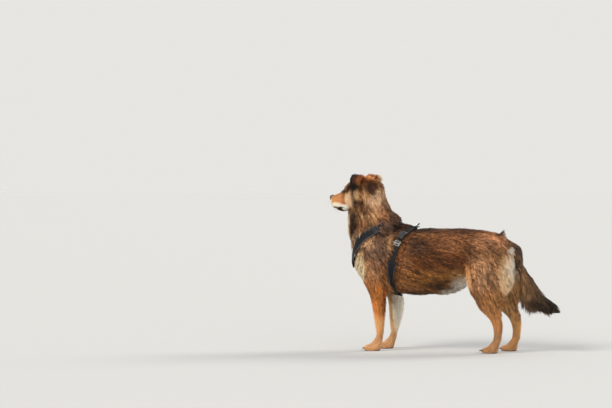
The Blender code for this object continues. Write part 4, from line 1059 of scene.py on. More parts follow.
def tuftMesh(name, finish, levels, lines, outs, width, rootColour, tipColour, patch):
    # closed tapered blades with three sides, all in one mesh
    count = len(lines)
    swell, shade = (np.array(shares) for shares in coatSettings["rings"][levels])
    if levels == 3:
        lines, outs = lines[:, [0, 2, 3]], outs[:, [0, 2, 3]]
    ahead = unit(np.gradient(lines, axis=1))
    across = unit(np.cross(ahead, outs))
    up = np.cross(across, ahead)
    half = width[:, None, None] * swell[None, :, None] / 2
    ridge = lines + up * half * coatSettings["thick"]
    rings = np.stack([lines - across * half, ridge, lines + across * half], axis=2)
    ringPlaces = rings[:, :-1].reshape(count, -1, 3)
    places = np.concatenate([ringPlaces, lines[:, -1:]], axis=1)
    corners = places.shape[1]
    faces = [(0, 2, 1)]
    for ring in range(levels - 2):
        for k in range(3):
            a, b = 3 * ring + k, 3 * ring + (k + 1) % 3
            faces += [(a, b, b + 3), (a, b + 3, a + 3)]
    last = 3 * (levels - 2)
    faces += [(last + k, last + (k + 1) % 3, corners - 1) for k in range(3)]
    faces = np.array(faces)
    joined = (np.arange(count)[:, None, None] * corners + faces[None]).reshape(-1, 3)
    mesh = bpy.data.meshes.new(name)
    mesh.vertices.add(count * corners)
    mesh.vertices.foreach_set("co", places.astype(np.float32).ravel())
    mesh.loops.add(joined.size)
    mesh.loops.foreach_set("vertex_index", joined.astype(np.int32).ravel())
    mesh.polygons.add(len(joined))
    mesh.polygons.foreach_set("loop_start", np.arange(0, joined.size, 3, dtype=np.int32))
    mesh.update(calc_edges=True)
    tone = np.concatenate([np.repeat(shade[:-1], 3), [1.0]])
    colour = rootColour[:, None] + (tipColour - rootColour)[:, None] * tone[None, :, None]
    paintCoat(mesh, colour.reshape(-1, 3))
    # each tuft's patch on the unwrap, around its root's place there
    spread = np.zeros((corners, 2))
    for ring in range(levels - 1):
        for k in range(3):
            spread[3 * ring + k] = (0.0013 * (k - 1), 0.0026 * ring / (levels - 1) - 0.0013)
    spread[-1] = (0.0, 0.0013)
    uv = (patch[:, None] + spread[None]).reshape(-1, 2)[joined.ravel()]
    layer = mesh.uv_layers.new(name="OFBake")
    layer.data.foreach_set("uv", uv.astype(np.float32).ravel())
    return makeObject(name, mesh, finish)


def unwrapped(places, owners):
    # each part of the body unrolled about its own length, in a place of its own on the sheet
    patch = np.zeros((len(places), 2))
    sheetRows = 5
    for k, node in enumerate(fleshNodes):
        own = owners == k
        if not own.any():
            continue
        low, high = (np.array(v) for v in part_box(node))
        middle, size = (low + high) / 2, high - low
        length = int(np.argmax(size))
        others = [axis for axis in range(3) if axis != length]
        rel = places[own] - middle
        turned = np.arctan2(rel[:, others[1]], rel[:, others[0]]) / (2 * math.pi) + 0.5
        ahead = np.clip(rel[:, length] / size[length] + 0.5, 0.0, 1.0)
        cell = np.array([k % sheetRows, k // sheetRows])
        patch[own] = (cell + 0.03 + 0.94 * np.stack([ahead, turned], axis=1)) / sheetRows
    return patch


def furGroup():
    # the coat's painted colour with a fine grain in its shade, roughness and height
    group, into, out = newGroup("furGrain", {"Scale": 700.0})
    paint = addNode(group.nodes, "ShaderNodeAttribute", attribute_name="coatColour")
    grain = noiseOf(group, Detail=2.0)
    group.links.new(into["Scale"], grain.inputs["Scale"])
    grains = grain.outputs["Fac"]
    shaded = addNode(group.nodes, "ShaderNodeVectorMath", operation="SCALE")
    group.links.new(paint.outputs["Color"], shaded.inputs[0])
    group.links.new(spreadOver(group, grains, 0.25, 0.75, 0.78, 1.22), shaded.inputs["Scale"])
    group.links.new(shaded.outputs["Vector"], out["Color"])
    group.links.new(spreadOver(group, grains, 0.25, 0.75, 0.50, 0.78), out["Roughness"])
    group.links.new(grains, out["Height"])
    return group


furGrain = furGroup()


def coatFinish(name="coatFinish", bump=0.15):
    soft = {"Specular_IOR_Level": 0.20, "Sheen_Weight": 0.05, "Sheen_Roughness": 0.5}
    return groupedFinish(name, furGrain, {}, bump=bump, depth=0.0006, **soft)


def coatDensity(places, normals, owner):
    # tufts to the square metre at each place
    s = coatSettings
    back = inHead(places)[:, 0]
    density = np.array([s["perSquareMetre"][part] for part in fleshParts], float)[owner]
    density *= 1.0 + s["fringeDensity"] * np.max([share for share, _, _, _ in fringeShares(places)], axis=0)
    onFace = np.isin(fleshParts, ["head", "lower_jaw"])[owner]
    density *= 1.0 + s["faceDensity"] * onFace * (1.0 - blend(-0.03, 0.05, back))
    before, behind = eyeSettings["clear"]
    density *= eyeDistance(places) > np.where(back > 0.004, behind, before)
    density *= back > s["noseFrom"]
    density *= 1.0 - soleShare(places, normals)
    for middle, reach, left in s["sparse"]:
        density *= 1.0 - (1.0 - left) * softShare(places, middle, reach)
    return density


def tuftColours(roots, lines, lock):
    # the colours of each tuft at its root and its tip, taken where its two halves are seen
    s = colourSettings
    place, depth, count = roots["place"], roots["depth"], len(lines)
    ends = []
    for seen in (place + (lines[:, 2] - place) * 0.35, lines[:, 2] * 0.4 + lines[:, 3] * 0.6):
        ends.append(streaked(coatColour(seen, roots["owner"]), place, roots["lie"], depth))
    tone = chance.normal(1.0, s["lockTone"], count)[lock] * chance.normal(1.0, s["tuftTone"], count)
    tone = np.clip(tone, 0.6, 1.5)
    long = blend(0.003, 0.012, depth)[:, None]
    tone = 1.0 + (tone[:, None] - 1.0) * (0.5 + 0.5 * long)
    rootEnd, tipEnd = (heldBack(colour * (1.22 - 0.22 * long), s["brightest"][0]) for colour in ends)
    pale = blend(0.35, 0.60, tipEnd.mean(axis=1))[:, None]
    tone = 1.0 + (tone - 1.0) * (1.0 - 0.7 * pale)
    tipTone = chance.choice(s["tipTones"][0], count, p=s["tipTones"][1])[:, None]
    tipTone = 1.0 + (tipTone - 1.0) * (1.0 - 0.85 * pale)
    tipColour = heldBack(tipEnd * tone * (1.0 + (tipTone - 1.0) * long) * 1.05, s["brightest"][1])
    # painted shade: the roots of long dark hair are made darker, as deep in the coat
    return rootEnd * tone * (1.0 - 0.30 * long * (1.0 - pale)), tipColour


def buildCoat(skin, shellTree, owner, depth):
    s = coatSettings
    places, normals = placesOf(skin.data), normalsOf(skin.data)
    fields = {"normal": normals, "depth": depth, "lie": coatLie(places, normals, owner), "owner": owner}
    roots = sowRoots(skin.data, fields, coatDensity(places, normals, owner))
    roots["normal"], roots["lie"] = unit(roots["normal"]), unit(roots["lie"])
    lines, outs, lock = layTufts(roots, shellTree, solidTree(harnessNodes)[0])
    rootColour, tipColour = tuftColours(roots, lines, lock)
    width = s["width"][0] + s["width"][1] * blend(0.0006, 0.018, roots["depth"])
    width *= chance.uniform(0.7, 1.3, len(lines))
    tufts = lines, outs, width, rootColour, tipColour, unwrapped(roots["place"], roots["owner"])
    parts = fleshParts[roots["owner"]]
    finish = coatFinish()
    total = 0
    for name, (members, levels) in s["pieces"].items():
        own = np.nonzero(np.isin(parts, members))[0]
        own = own[np.argsort(roots["place"][own, 0])]
        facesToTuft = 6 * levels - 8
        pieces = max(1, math.ceil(len(own) * facesToTuft / s["facesToPiece"]))
        for number, part in enumerate(np.array_split(own, pieces)):
            label = name if pieces == 1 else f"{name}{number + 1}"
            piece = tuftMesh(label, finish, levels, *(field[part] for field in tufts))
            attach(piece, "root")
            total += len(piece.data.polygons)
            print("  ", label, len(part))
    print("coat has", len(lines), "tufts and", total, "faces")


whiskerSettings = {
    # middles on the muzzle, the brow and the chin in the head's frame, their number, spread and length
    "beds": [
        ((-0.088, -0.030, -0.056), 9, 0.011, (0.026, 0.046)),
        ((-0.006, -0.036, 0.022), 3, 0.004, (0.016, 0.026)),
        ((-0.092, -0.012, -0.096), 4, 0.006, (0.014, 0.026)),
    ],
    "width": 0.00034,
    "colours": ((58, 46, 40), (128, 112, 96)),  # at the root and the tip
}


def buildWhiskers(skin):
    # stiff single hairs that curve back from the muzzle
    tree = treeOf(skin.data)
    lines, outs = [], []
    for middle, number, spread, (short, long) in whiskerSettings["beds"]:
        for side in (-1.0, 1.0):
            spots = np.array(middle) + chance.normal(0.0, spread, (number, 3)) * (1.0, 0.2, 0.5)
            roots, out, _, _ = nearestOn(tree, fromHead(spots * (1.0, -side, 1.0)))
            back = np.array((0.55, -0.25 * side, -0.18)) @ headAxes
            size = chance.uniform(short, long, number)[:, None]
            start = unit(out + 0.35 * back + chance.normal(0.0, 0.10, (number, 3)))
            hairs = [roots - out * 0.001]
            bend = 0.55 * back - np.array((0, 0, 0.10))
            for level in coatSettings["levels"]:
                hairs.append(roots + (start * level + bend * level**2) * size)
            lines.append(np.stack(hairs, axis=1))
            outs.append(np.repeat(out[:, None], 4, axis=1))
    lines, outs = np.concatenate(lines), np.concatenate(outs)
    count = len(lines)
    colours = [np.tile(linear(colour), (count, 1)) for colour in whiskerSettings["colours"]]
    patch = unwrapped(lines[:, 0], np.full(count, fleshNodes.index("head")))
    widths = np.full(count, whiskerSettings["width"])
    finish = coatFinish("whiskerFinish", 0.1)
    whiskers = tuftMesh("whiskers", finish, 4, lines, outs, widths, *colours, patch)
    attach(whiskers, "root")
    print("whiskers are made")


def eyeDistance(places):
    return np.min([np.linalg.norm(places - np.array(c), axis=1) for c in eyeCentres.values()], axis=0)


def soleShare(places, normals):
    # 1 on the pads beneath the feet
    return blend(0.3, 0.7, -normals[:, 2]) * (1.0 - blend(0.008, 0.014, places[:, 2]))


def paintSkin(skin, owner, depth):
    # the hide under the hair, with painted shade where the hair is long
    places, normals = placesOf(skin.data), normalsOf(skin.data)
    colour = streaked(coatColour(places, owner), places, coatLie(places, normals, owner), depth)
    pale = blend(0.35, 0.60, colour.mean(axis=1))
    colour *= (1.0 - skinSettings["underShade"] * blend(0.002, 0.010, depth) * (1.0 - pale))[:, None]
    colour += (linear(skinSettings["soleColour"]) - colour) * soleShare(places, normals)[:, None]
    paintCoat(skin.data, colour)
    skin.data.materials.append(coatFinish("skinFinish", 0.8))


# Worn and woven surfaces


def wearGroup():
    # a base colour varied by dust and rubbing
    group, into, out = newGroup("surfaceLife", {
        "Base": (0.02, 0.02, 0.02, 1), "Dust": (0.3, 0.26, 0.2, 1), "Dust Share": 0.1,
        "Scale": 40.0, "Roughness": 0.5, "Spread": 0.15,
    })
    maths = mathsOf(group)
    broad = noiseOf(group, Detail=5.0, Roughness=0.6)
    fine = noiseOf(group, Detail=3.0)
    group.links.new(into["Scale"], broad.inputs["Scale"])
    group.links.new(maths("MULTIPLY", into["Scale"], 9.0), fine.inputs["Scale"])
    dusty = maths("MULTIPLY", spreadOver(group, broad.outputs["Fac"], 0.42, 0.70), into["Dust Share"])
    centred = maths("SUBTRACT", fine.outputs["Fac"], 0.5)
    rough = maths("MULTIPLY_ADD", centred, into["Spread"], into["Roughness"])
    group.links.new(mixed(group, dusty, into["Base"], into["Dust"]), out["Color"])
    group.links.new(rough, out["Roughness"])
    group.links.new(fine.outputs["Fac"], out["Height"])
    return group


def webbingGroup():
    # woven ribs and two rows of stitches, from metres along and across the strap
    group, into, out = newGroup("webbing", {
        "Yarn": (0.02, 0.02, 0.02, 1), "Thread": (0.2, 0.2, 0.2, 1),
        "Rib": 0.0016, "Stitch Row": 0.009, "Fuzz": 0.35,
    })
    maths = mathsOf(group)
    where = addNode(group.nodes, "ShaderNodeAttribute", attribute_name="alongStrap")
    parts = group.nodes.new("ShaderNodeSeparateXYZ")
    group.links.new(where.outputs["Vector"], parts.inputs[0])
    along, across = parts.outputs["X"], parts.outputs["Y"]
    turns = maths("DIVIDE", 2 * math.pi, into["Rib"])
    ribs = maths("SINE", maths("MULTIPLY", maths("ADD", along, maths("MULTIPLY", across, 0.5)), turns))
    cross = maths("SINE", maths("MULTIPLY", across, turns))
    low = maths("MULTIPLY_ADD", ribs, 0.25, 0.5)
    weave = maths("MULTIPLY_ADD", maths("MULTIPLY", ribs, cross), 0.25, low)
    off = maths("ABSOLUTE", maths("SUBTRACT", maths("ABSOLUTE", across), into["Stitch Row"]))
    dash = maths("LESS_THAN", maths("FRACT", maths("DIVIDE", along, 0.0042)), 0.62)
    stitch = maths("MULTIPLY", maths("LESS_THAN", off, 0.00055), dash)
    worn = noiseOf(group, Scale=55.0, Detail=6.0).outputs["Fac"]
    shade = maths("MULTIPLY_ADD", worn, 0.9, 0.55)
    woven = maths("MULTIPLY", shade, maths("MULTIPLY_ADD", weave, 0.7, 0.65))
    yarn = mixed(group, 1.0, into["Yarn"], woven, "MULTIPLY")
    group.links.new(mixed(group, stitch, yarn, into["Thread"]), out["Color"])
    group.links.new(maths("MULTIPLY_ADD", worn, into["Fuzz"], 0.42), out["Roughness"])
    group.links.new(maths("MULTIPLY_ADD", stitch, 1.2, weave), out["Height"])
    return group


def wornFinish(name, base, dust, share, scale, roughness=0.5, **more):
    # a plain surface with its dust
    values = {"Base": opaque(base), "Dust": opaque(dust), "Dust Share": share}
    return groupedFinish(name, surfaceLife, values | {"Scale": scale, "Roughness": roughness}, **more)


def sweepRings(rings, values=None, layer="value", closed=True):
    # a skin through the rings of places in turn, closed at both ends, with a vector at each corner
    mesh = bmesh.new()
    held = mesh.verts.layers.float_vector.new(layer) if values else None
    count = len(rings[0])
    made = bmesh.ops.create_circle(mesh, cap_ends=False, segments=count, radius=1.0)["verts"]
    order = {corner: k for k, corner in enumerate(made)}
    edges = list(mesh.edges)
    ends = [edges]
    for step, ring in enumerate(rings):
        if step:
            grown = bmesh.ops.extrude_edge_only(mesh, edges=edges)["geom"]
            fresh = {g for g in grown if isinstance(g, bmesh.types.BMVert)}
            edges = [g for g in grown if isinstance(g, bmesh.types.BMEdge) and set(g.verts) <= fresh]
            before = order
            order = {}
            for corner in fresh:
                for edge in corner.link_edges:
                    if edge.other_vert(corner) in before:
                        order[corner] = before[edge.other_vert(corner)]
        for corner, k in order.items():
            corner.co = Vector(ring[k])
            if values:
                corner[held] = Vector(values[step][k])
    ends.append(edges)
    if closed:
        for loop in ends:
            bmesh.ops.contextual_create(mesh, geom=loop)
    bmesh.ops.recalc_face_normals(mesh, faces=mesh.faces)
    return mesh


surfaceLife = wearGroup()
webbingWeave = webbingGroup()


# Eyes: a wet ball with its cornea, in lids of their own

eyeSettings = {
    "gaze": (-0.66, 0.75, 0.02),  # of the right eye, in the head's frame
    "opening": (-0.50, 0.86, 0.04),  # the way that its lids face
    "lidWidth": 60.0, "lidHigh": 38.0, "lidLow": 31.0,  # half sizes, in degrees about the ball's middle
    "lidTilt": 9.0,
    "lidCorners": 40,
    # the lids' rings: degrees beyond the opening, and how far from the middle in the ball's radius
    "rings": [
        (-2.0, 0.975), (0.0, 1.035), (3.0, 1.085), (9.0, 1.110), (17.0, 1.090), (27.0, 1.010), (38.0, 0.90),
    ],
    "rimColour": (30, 22, 19),
    "furShade": 0.75,  # of the hair on the lids
    # the ball's colours, by the angle from the middle of the pupil, 1 at a quarter turn
    "colours": [
        (0.0, (3, 3, 3)), (0.180, (4, 3, 3)), (0.215, (44, 23, 11)), (0.34, (84, 45, 19)),
        (0.47, (52, 28, 13)), (0.530, (12, 8, 7)), (0.62, (30, 22, 19)), (0.80, (46, 34, 30)),
    ],
    "cornea": (0.045, 0.42),  # how far it bulges, and its width as an angle
    # tufts start so far from the ball's middle: before it, and behind it
    "clear": (0.0128, 0.0098),
}


def eyeFrame(side, way):
    # the ball's middle, and the axes outward, to the head's back and up
    flip = 1.0 if side == "right" else -1.0
    out = unit(np.array(way) * (1.0, flip, 1.0)) @ headAxes
    up = unit(np.array((0.0, 0.0, 1.0)) - out * out[2])
    return np.array(eyeCentres[side]), out, np.cross(up, out) * flip, up


def eyeFinish():
    wet = {"Coat_Weight": 0.55, "Coat_Roughness": 0.02, "Specular_IOR_Level": 0.12}
    finish, nodes, links, shader = newFinish("eyeFinish", 0.06, **wet)
    rampInto(nodes, links, shader, "fromPupil", eyeSettings["colours"])
    return finish


def buildEye(side, finish, rimFinish):
    middle, out, back, up = eyeFrame(side, eyeSettings["gaze"])
    high, wide = eyeSettings["cornea"]
    mesh = bmesh.new()
    bmesh.ops.create_uvsphere(mesh, u_segments=32, v_segments=24, radius=eyeRadius)
    angles = mesh.verts.layers.float.new("fromPupil")
    for corner in mesh.verts:
        local = np.array(corner.co)
        angle = math.acos(max(-1.0, min(1.0, local[2] / eyeRadius)))
        corner[angles] = angle / math.pi * 2.0
        bulge = 1.0 + high * math.exp(-((angle / wide) ** 2))
        corner.co = Vector(middle + (back * local[0] + up * local[1] + out * local[2]) * bulge)
    bmesh.ops.recalc_face_normals(mesh, faces=mesh.faces)
    ball = makeObject("eyeball_" + side, mesh, finish)
    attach(ball, "root")
    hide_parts("eye_" + side)
    buildLids(side, rimFinish)


def buildLids(side, rimFinish):
    s = eyeSettings
    middle, out, back, up = eyeFrame(side, s["opening"])
    tilt = math.radians(s["lidTilt"])
    count = s["lidCorners"]
    around = 2 * np.pi * np.arange(count) / count
    high = np.where(np.sin(around) > 0, s["lidHigh"], s["lidLow"])
    x = s["lidWidth"] * np.cos(around)
    y = high * np.sin(around) * np.abs(np.sin(around)) ** 0.35
    x, y = x * math.cos(tilt) - y * math.sin(tilt), x * math.sin(tilt) + y * math.cos(tilt)
    aside = unit(x[:, None] * back + y[:, None] * up)
    rings = []
    for wider, factor in s["rings"]:
        far = np.radians(np.hypot(x, y) + wider)[:, None]
        rings.append(middle + (out * np.cos(far) + aside * np.sin(far)) * eyeRadius * factor)
    tones = [np.full((count, 3), blend(2.0, 11.0, wider)) for wider, _ in s["rings"]]
    lids = makeObject("lids_" + side, sweepRings(rings, tones, "tone", False), rimFinish)
    places = placesOf(lids.data)
    if (normalsOf(lids.data) * (places - middle)).sum() < 0:
        lids.data.flip_normals()
    furred = readAll(lids.data.attributes["tone"].data, "vector")
    fur = coatColour(places, np.full(len(places), fleshNodes.index("head"))) * s["furShade"]
    dark = linear(s["rimColour"])
    paintCoat(lids.data, dark + (fur - dark) * furred)
    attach(lids, "root")


# Nose leather

noseSettings = {
    "grow": 1.10,
    "boxy": 2.6,
    "nostril": (0.46, -0.02, 0.20, 0.15, 0.42),  # aside, up, half width, half height, depth
    "slitDepth": 0.16,  # behind each nostril
    "lipDepth": 0.12,  # of the line down its middle
    "colours": [(0.0, (58, 54, 54)), (0.35, (40, 36, 36)), (1.0, (8, 7, 7))],  # by how deep in a pit, as painted shade in the nostrils, their slits and the middle groove
    "pebbles": 900.0,
}


def buildNose():
    s = noseSettings
    low, high = (np.array(v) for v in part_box("nose"))
    middle, half = (low + high) / 2, (high - low) / 2 * s["grow"]
    mesh = bmesh.new()
    bmesh.ops.create_uvsphere(mesh, u_segments=48, v_segments=32, radius=1.0)
    aside, rise, wide, tall, deep = s["nostril"]
    pitShade = mesh.verts.layers.float.new("pit")
    for corner in mesh.verts:
        x, y, z = corner.co
        boxy = sum(abs(v) ** s["boxy"] for v in (x, y, z)) ** (1 / s["boxy"])
        pit = math.exp(-(((abs(y) - aside) / wide) ** 2) - ((z - rise) / tall) ** 2) if x < 0.1 else 0.0
        slit = math.exp(-(((z + 0.16 + 0.25 * (abs(y) - 0.6)) / 0.07) ** 2))
        slit *= float(blend(0.5, 0.7, abs(y)) * (1.0 - blend(0.3, 0.9, x)))
        lip = math.exp(-((y / 0.055) ** 2)) * float(blend(0.25, -0.25, z)) if x < 0 else 0.0
        size = (1.0 - deep * pit - s["slitDepth"] * slit - s["lipDepth"] * lip) / boxy
        # painted shade: the nostrils, the slits behind them and the groove down the middle made darker
        corner[pitShade] = min(1.0, pit * 1.3 + slit + 0.5 * lip)
        narrow = 1.0 - 0.16 * float(blend(-0.2, 0.9, -z))
        corner.co = Vector(middle + (np.array((x, y * narrow, z)) * size * half) @ headAxes)
    bmesh.ops.recalc_face_normals(mesh, faces=mesh.faces)
    finish, nodes, links, shader = newFinish("noseFinish", 0.50, Coat_Weight=0.12, Coat_Roughness=0.35)
    rampInto(nodes, links, shader, "pit", s["colours"])
    where = nodes.new("ShaderNodeTexCoord")
    pebbles = addNode(nodes, "ShaderNodeTexVoronoi", Scale=s["pebbles"], feature="F1")
    raised = addNode(nodes, "ShaderNodeBump", Strength=0.5, Distance=0.0005, invert=True)
    links.new(where.outputs["Object"], pebbles.inputs["Vector"])
    links.new(pebbles.outputs["Distance"], raised.inputs["Height"])
    links.new(raised.outputs["Normal"], shader.inputs["Normal"])
    nose = makeObject("noseLeather", mesh, finish)
    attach(nose, "root")
    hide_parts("nose")
    print("nose is made")


# Claws: each a tapered horn that curves down

clawSettings = {
    "rings": 7,
    "sides": 12,
    "sunk": 0.002,  # into the toe
    "length": 0.80,  # of the solid's
    "taper": (0.9, 1.4),  # how much it loses, and how late
    "droop": 0.30,
    "flat": 0.85,
}


def buildClaws():
    s = clawSettings
    relief = {"bump": 0.25, "depth": 0.0003}
    finish = wornFinish("clawFinish", (46, 40, 36), (120, 104, 86), 0.5, 150.0, 0.34, **relief)
    around = 2 * np.pi * np.arange(s["sides"]) / s["sides"]
    for node in [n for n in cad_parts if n.startswith("claw_")]:
        low, high = (np.array(v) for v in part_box(node))
        length, radius = (high[0] - low[0]) * s["length"] + s["sunk"], (high[1] - low[1]) / 2
        start = np.array((high[0] + s["sunk"], (low[1] + high[1]) / 2, high[2] - radius * 0.9))
        rings = []
        for share in np.linspace(0, 1, s["rings"]):
            size = radius * (1.0 - s["taper"][0] * share ** s["taper"][1])
            centre = start - np.array((length * share, 0, s["droop"] * length * share**2))
            lean = 0.9 * share
            rise = np.sin(around)[:, None] * np.array((-math.sin(lean), 0, math.cos(lean)))
            rings.append(centre + size * (rise + np.cos(around)[:, None] * np.array((0, s["flat"], 0))))
        claw = makeObject("horn" + node[4:].title().replace("_", ""), sweepRings(rings), finish)
        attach(claw, "root")
        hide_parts(node)
    print("claws are made")


# Harness: straps swept along their routes and laid on the coat

strapSettings = {
    "step": 0.006,
    "sides": 14,
    "crown": 0.25,  # how much thicker a strap is in its middle
    "lift": 0.0012,  # above the coat
    "seat": 0.024,  # a strap that runs this near to the coat lies on it
    "webbing": (0.0245, 0.0026),  # width and thickness
    "neck": [
        (-0.440, -0.020, 0.433), (-0.429, -0.040, 0.448), (-0.415, -0.062, 0.475), (-0.396, -0.085, 0.514),
        (-0.372, -0.098, 0.543), (-0.342, -0.103, 0.565), (-0.306, -0.095, 0.580), (-0.262, -0.062, 0.600),
        (-0.222, -0.004, 0.612),
    ],
    "neckWidths": [0.026, 0.028, 0.033, 0.036, 0.037, 0.036, 0.033, 0.031, 0.030],
    "neckThick": 0.0052,
    "neckWebbing": (0.019, 0.0013),
    "neckTrim": (0.0030, 0.0013),  # height above the coat, and radius
    "girth": [
        (-0.132, -0.004, 0.594), (-0.150, -0.055, 0.577), (-0.175, -0.092, 0.552), (-0.196, -0.114, 0.518),
        (-0.206, -0.127, 0.478), (-0.218, -0.128, 0.432), (-0.223, -0.120, 0.380), (-0.224, -0.106, 0.331),
        (-0.220, -0.065, 0.285), (-0.216, -0.004, 0.270),
    ],
    "spine": [(-0.205, 0.0, 0.606), (-0.172, 0.0, 0.601), (-0.140, 0.0, 0.594)],
    "chest": [
        (-0.441, 0.0, 0.404), (-0.412, 0.0, 0.350), (-0.352, 0.0, 0.305), (-0.282, 0.0, 0.275),
        (-0.235, 0.0, 0.268),
    ],
    "chestSeat": 0.12,
    "pad": [(-0.2185, -0.128, 0.426), (-0.2235, -0.120, 0.380), (-0.2245, -0.106, 0.331)],
    "padWidths": [0.047, 0.036, 0.024, 0.012],
    "padThick": 0.0058,
    "padLift": 0.0030,
    "padTrim": (0.0034, 0.0011),
    "patches": {  # the node, width and route of each
        "withersPatch": (
            "withers_patch", 0.045,
            [(-0.222, 0, 0.610), (-0.205, 0, 0.607), (-0.188, 0, 0.604)],
        ),
        "leadPatch": ("ring_patch", 0.040, [(-0.164, 0, 0.600), (-0.139, 0, 0.595), (-0.114, 0, 0.591)]),
        "breastPatch": (
            "breast_patch", [0.030, 0.050, 0.052, 0.046, 0.028],
            [(-0.441, 0, 0.460), (-0.447, 0, 0.426), (-0.440, 0, 0.392)],
        ),
        "sternumPatch": (
            "sternum_patch", 0.044,
            [(-0.247, 0, 0.267), (-0.220, 0, 0.265), (-0.196, 0, 0.267)],
        ),
    },
    "patchThick": 0.0042,
    "patchLift": 0.0035,
}


def smoothRoute(points, step):
    # places at even steps along a smooth line through the points
    points = np.array(points, float)
    padded = np.vstack([2 * points[0] - points[1], points, 2 * points[-1] - points[-2]])
    dense = []
    for a, b, c, d in zip(padded, padded[1:], padded[2:], padded[3:]):
        for t in np.linspace(0, 1, 24, endpoint=False):
            square, cube = 2 * a - 5 * b + 4 * c - d, 3 * b - a - 3 * c + d
            dense.append((2 * b + (c - a) * t + square * t**2 + cube * t**3) / 2)
    dense = np.array(dense + [points[-1]])
    run = np.concatenate([[0], np.cumsum(np.linalg.norm(np.diff(dense, axis=0), axis=1))])
    even = np.linspace(0, run[-1], max(3, int(round(run[-1] / step)) + 1))
    return np.stack([np.interp(even, run, dense[:, k]) for k in range(3)], axis=1), even


def bothSides(points):
    # the route on the left continued on the right, end to end over the middle line
    return points[::-1] + [(x, -y, z) for x, y, z in points]


def layRibbon(name, route, width, thickness, finish, nodes, lift=None, seat=None):
    # a flat band with rounded edges along the route, laid on the coat; its width may vary along it
    s = strapSettings
    lift, seat = s["lift"] if lift is None else lift, s["seat"] if seat is None else seat
    places, run = smoothRoute(route, s["step"])
    near, outs, _, far = nearestOn(shellTree, places)
    outs = unit(outs)
    for _ in range(4):
        outs[1:-1] = unit(outs[:-2] + 2 * outs[1:-1] + outs[2:])
    if seat:
        share = (1.0 - blend(seat / 2, seat, far))[:, None]
        places = places + (near + outs * lift - places) * share
    for _ in range(3):
        places[1:-1] = (places[:-2] + 2 * places[1:-1] + places[2:]) / 4
    ahead = unit(np.gradient(places, axis=0))
    across = unit(np.cross(ahead, outs))
    outs = np.cross(across, ahead)
    widths = np.interp(run / run[-1], np.linspace(0, 1, np.size(width)), np.ravel(width))
    angles = 2 * math.pi * np.arange(s["sides"]) / s["sides"]
    flat = np.sign(np.cos(angles)) * np.abs(np.cos(angles)) ** 0.35
    tall = np.sign(np.sin(angles)) * np.abs(np.sin(angles)) ** 0.55
    high = thickness * (0.5 + 0.5 * tall) + thickness * s["crown"] * np.maximum(tall, 0.0) * (1.0 - flat**2)
    rings, marks = [], []
    for k in range(len(places)):
        aside = flat * widths[k] / 2
        rings.append(places[k] + aside[:, None] * across[k] + high[:, None] * outs[k])
        marks.append(np.stack([np.full(s["sides"], run[k]), aside, np.zeros(s["sides"])], axis=1))
    strap = makeObject(name, sweepRings(rings, marks, "alongStrap"), finish)
    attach(strap, "root")
    if nodes:
        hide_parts(*nodes)
    return places, across, outs, widths


def layTrims(names, laid, height, radius, finish):
    # thin round cords along both edges of a band
    places, across, outs, widths = laid
    around = np.pi * np.arange(6)[:, None] / 3
    for name, sign in zip(names, (-1.0, 1.0)):
        line = places + across * (sign * widths / 2 * 0.99)[:, None] + outs * height
        ahead = unit(np.gradient(line, axis=0))
        side = unit(np.cross(ahead, (0.3, 0.9, 0.31)))
        up = np.cross(side, ahead)
        rings = [p + (a * np.cos(around) + b * np.sin(around)) * radius for p, a, b in zip(line, side, up)]
        trim = makeObject(name, sweepRings(rings), finish)
        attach(trim, "root")


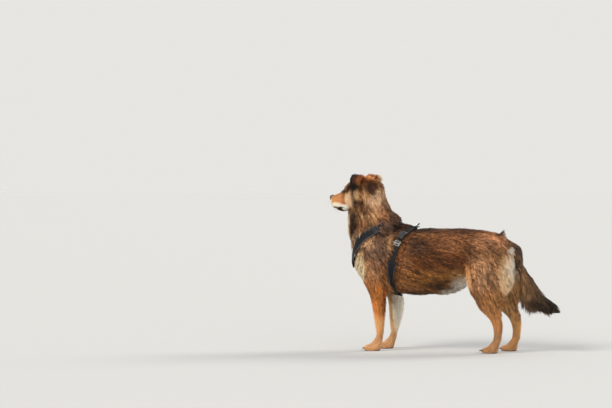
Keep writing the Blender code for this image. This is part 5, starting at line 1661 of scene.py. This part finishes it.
def buildHarness():
    s = strapSettings
    thread = opaque((66, 70, 80))
    sheen = {"Sheen_Weight": 0.02, "Sheen_Roughness": 0.4, "Specular_IOR_Level": 0.18}
    woven = {"Yarn": opaque((17, 17, 20)), "Thread": thread}
    webbing = groupedFinish("webbingFinish", webbingWeave, woven, bump=0.55, **sheen)
    coarse = {"Yarn": opaque((14, 14, 17)), "Thread": thread, "Rib": 0.0026, "Stitch Row": 0.0135}
    padding = groupedFinish("paddingFinish", webbingWeave, coarse, bump=0.35, **sheen)
    trim = wornFinish("trimFinish", (78, 86, 104), (150, 150, 150), 0.3, 60.0, bump=0.2)
    route, widths = bothSides(s["neck"]), s["neckWidths"][::-1] + s["neckWidths"]
    nodes = ["neck_strap_left", "neck_strap_right"]
    laid = layRibbon("neckPad", route, widths, s["neckThick"], padding, nodes)
    route = laid[0][::3] + laid[2][::3] * s["neckThick"]
    layRibbon("neckWebbing", route, *s["neckWebbing"], webbing, [], seat=0.0)
    layTrims(("neckTrimFront", "neckTrimRear"), laid, *s["neckTrim"], trim)
    nodes = ["girth_strap_left", "girth_strap_right"]
    layRibbon("girthStrap", bothSides(s["girth"]), *s["webbing"], webbing, nodes)
    layRibbon("spineStrap", s["spine"], *s["webbing"], webbing, ["spine_strap"])
    layRibbon("chestStrap", s["chest"], *s["webbing"], webbing, ["chest_strap"], seat=s["chestSeat"])
    for side, sign in sides.items():
        route, widths = [(x, -y * sign, z) for x, y, z in s["pad"]], s["padWidths"]
        nodes = ["girth_pad_" + side]
        laid = layRibbon("girthPad_" + side, route, widths, s["padThick"], padding, nodes, lift=s["padLift"])
        layTrims(("padTrimFore_" + side, "padTrimAft_" + side), laid, *s["padTrim"], trim)
    for name, (node, width, route) in s["patches"].items():
        layRibbon(name, route, width, s["patchThick"], padding, [node], lift=s["patchLift"])
    fine = {"bump": 0.12, "depth": 0.0002}
    plastic = wornFinish(
        "plasticFinish", (20, 20, 23), (70, 70, 74), 0.30, 90.0, 0.30,
        Coat_Weight=0.35, Coat_Roughness=0.15, **fine,
    )
    lightPlastic = wornFinish(
        "lightPlasticFinish", (40, 42, 47), (110, 112, 116), 0.25, 90.0, 0.25,
        Coat_Weight=0.5, Coat_Roughness=0.10, **fine,
    )
    steel = wornFinish(
        "steelFinish", (128, 131, 138), (70, 70, 70), 0.5, 120.0, 0.22,
        bump=0.1, depth=0.0002, Metallic=1.0,
    )
    fittings = {"buckle": plastic, "neck_slider": plastic, "girth_slider": lightPlastic, "lead_ring": steel}
    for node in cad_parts:
        for start, finish in fittings.items():
            if node.startswith(start):
                setFinish(node, finish)
    print("harness is made")


def setFinish(node, finish):
    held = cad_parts[node]
    if not held.material_slots:
        held.data.materials.append(finish)
    for slot in held.material_slots:
        slot.material = finish


buildStage()
skin, shellTree, skinOwner, skinDepth = buildSkin()
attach(skin, "root")
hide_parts(*fleshNodes)
paintSkin(skin, skinOwner, skinDepth)
wetEye, lidFinish = eyeFinish(), coatFinish("lidFinish", 0.5)
for side in sides:
    buildEye(side, wetEye, lidFinish)
print("eyes are made")
buildNose()
buildClaws()
buildHarness()
buildCoat(skin, shellTree, skinOwner, skinDepth)
buildWhiskers(skin)
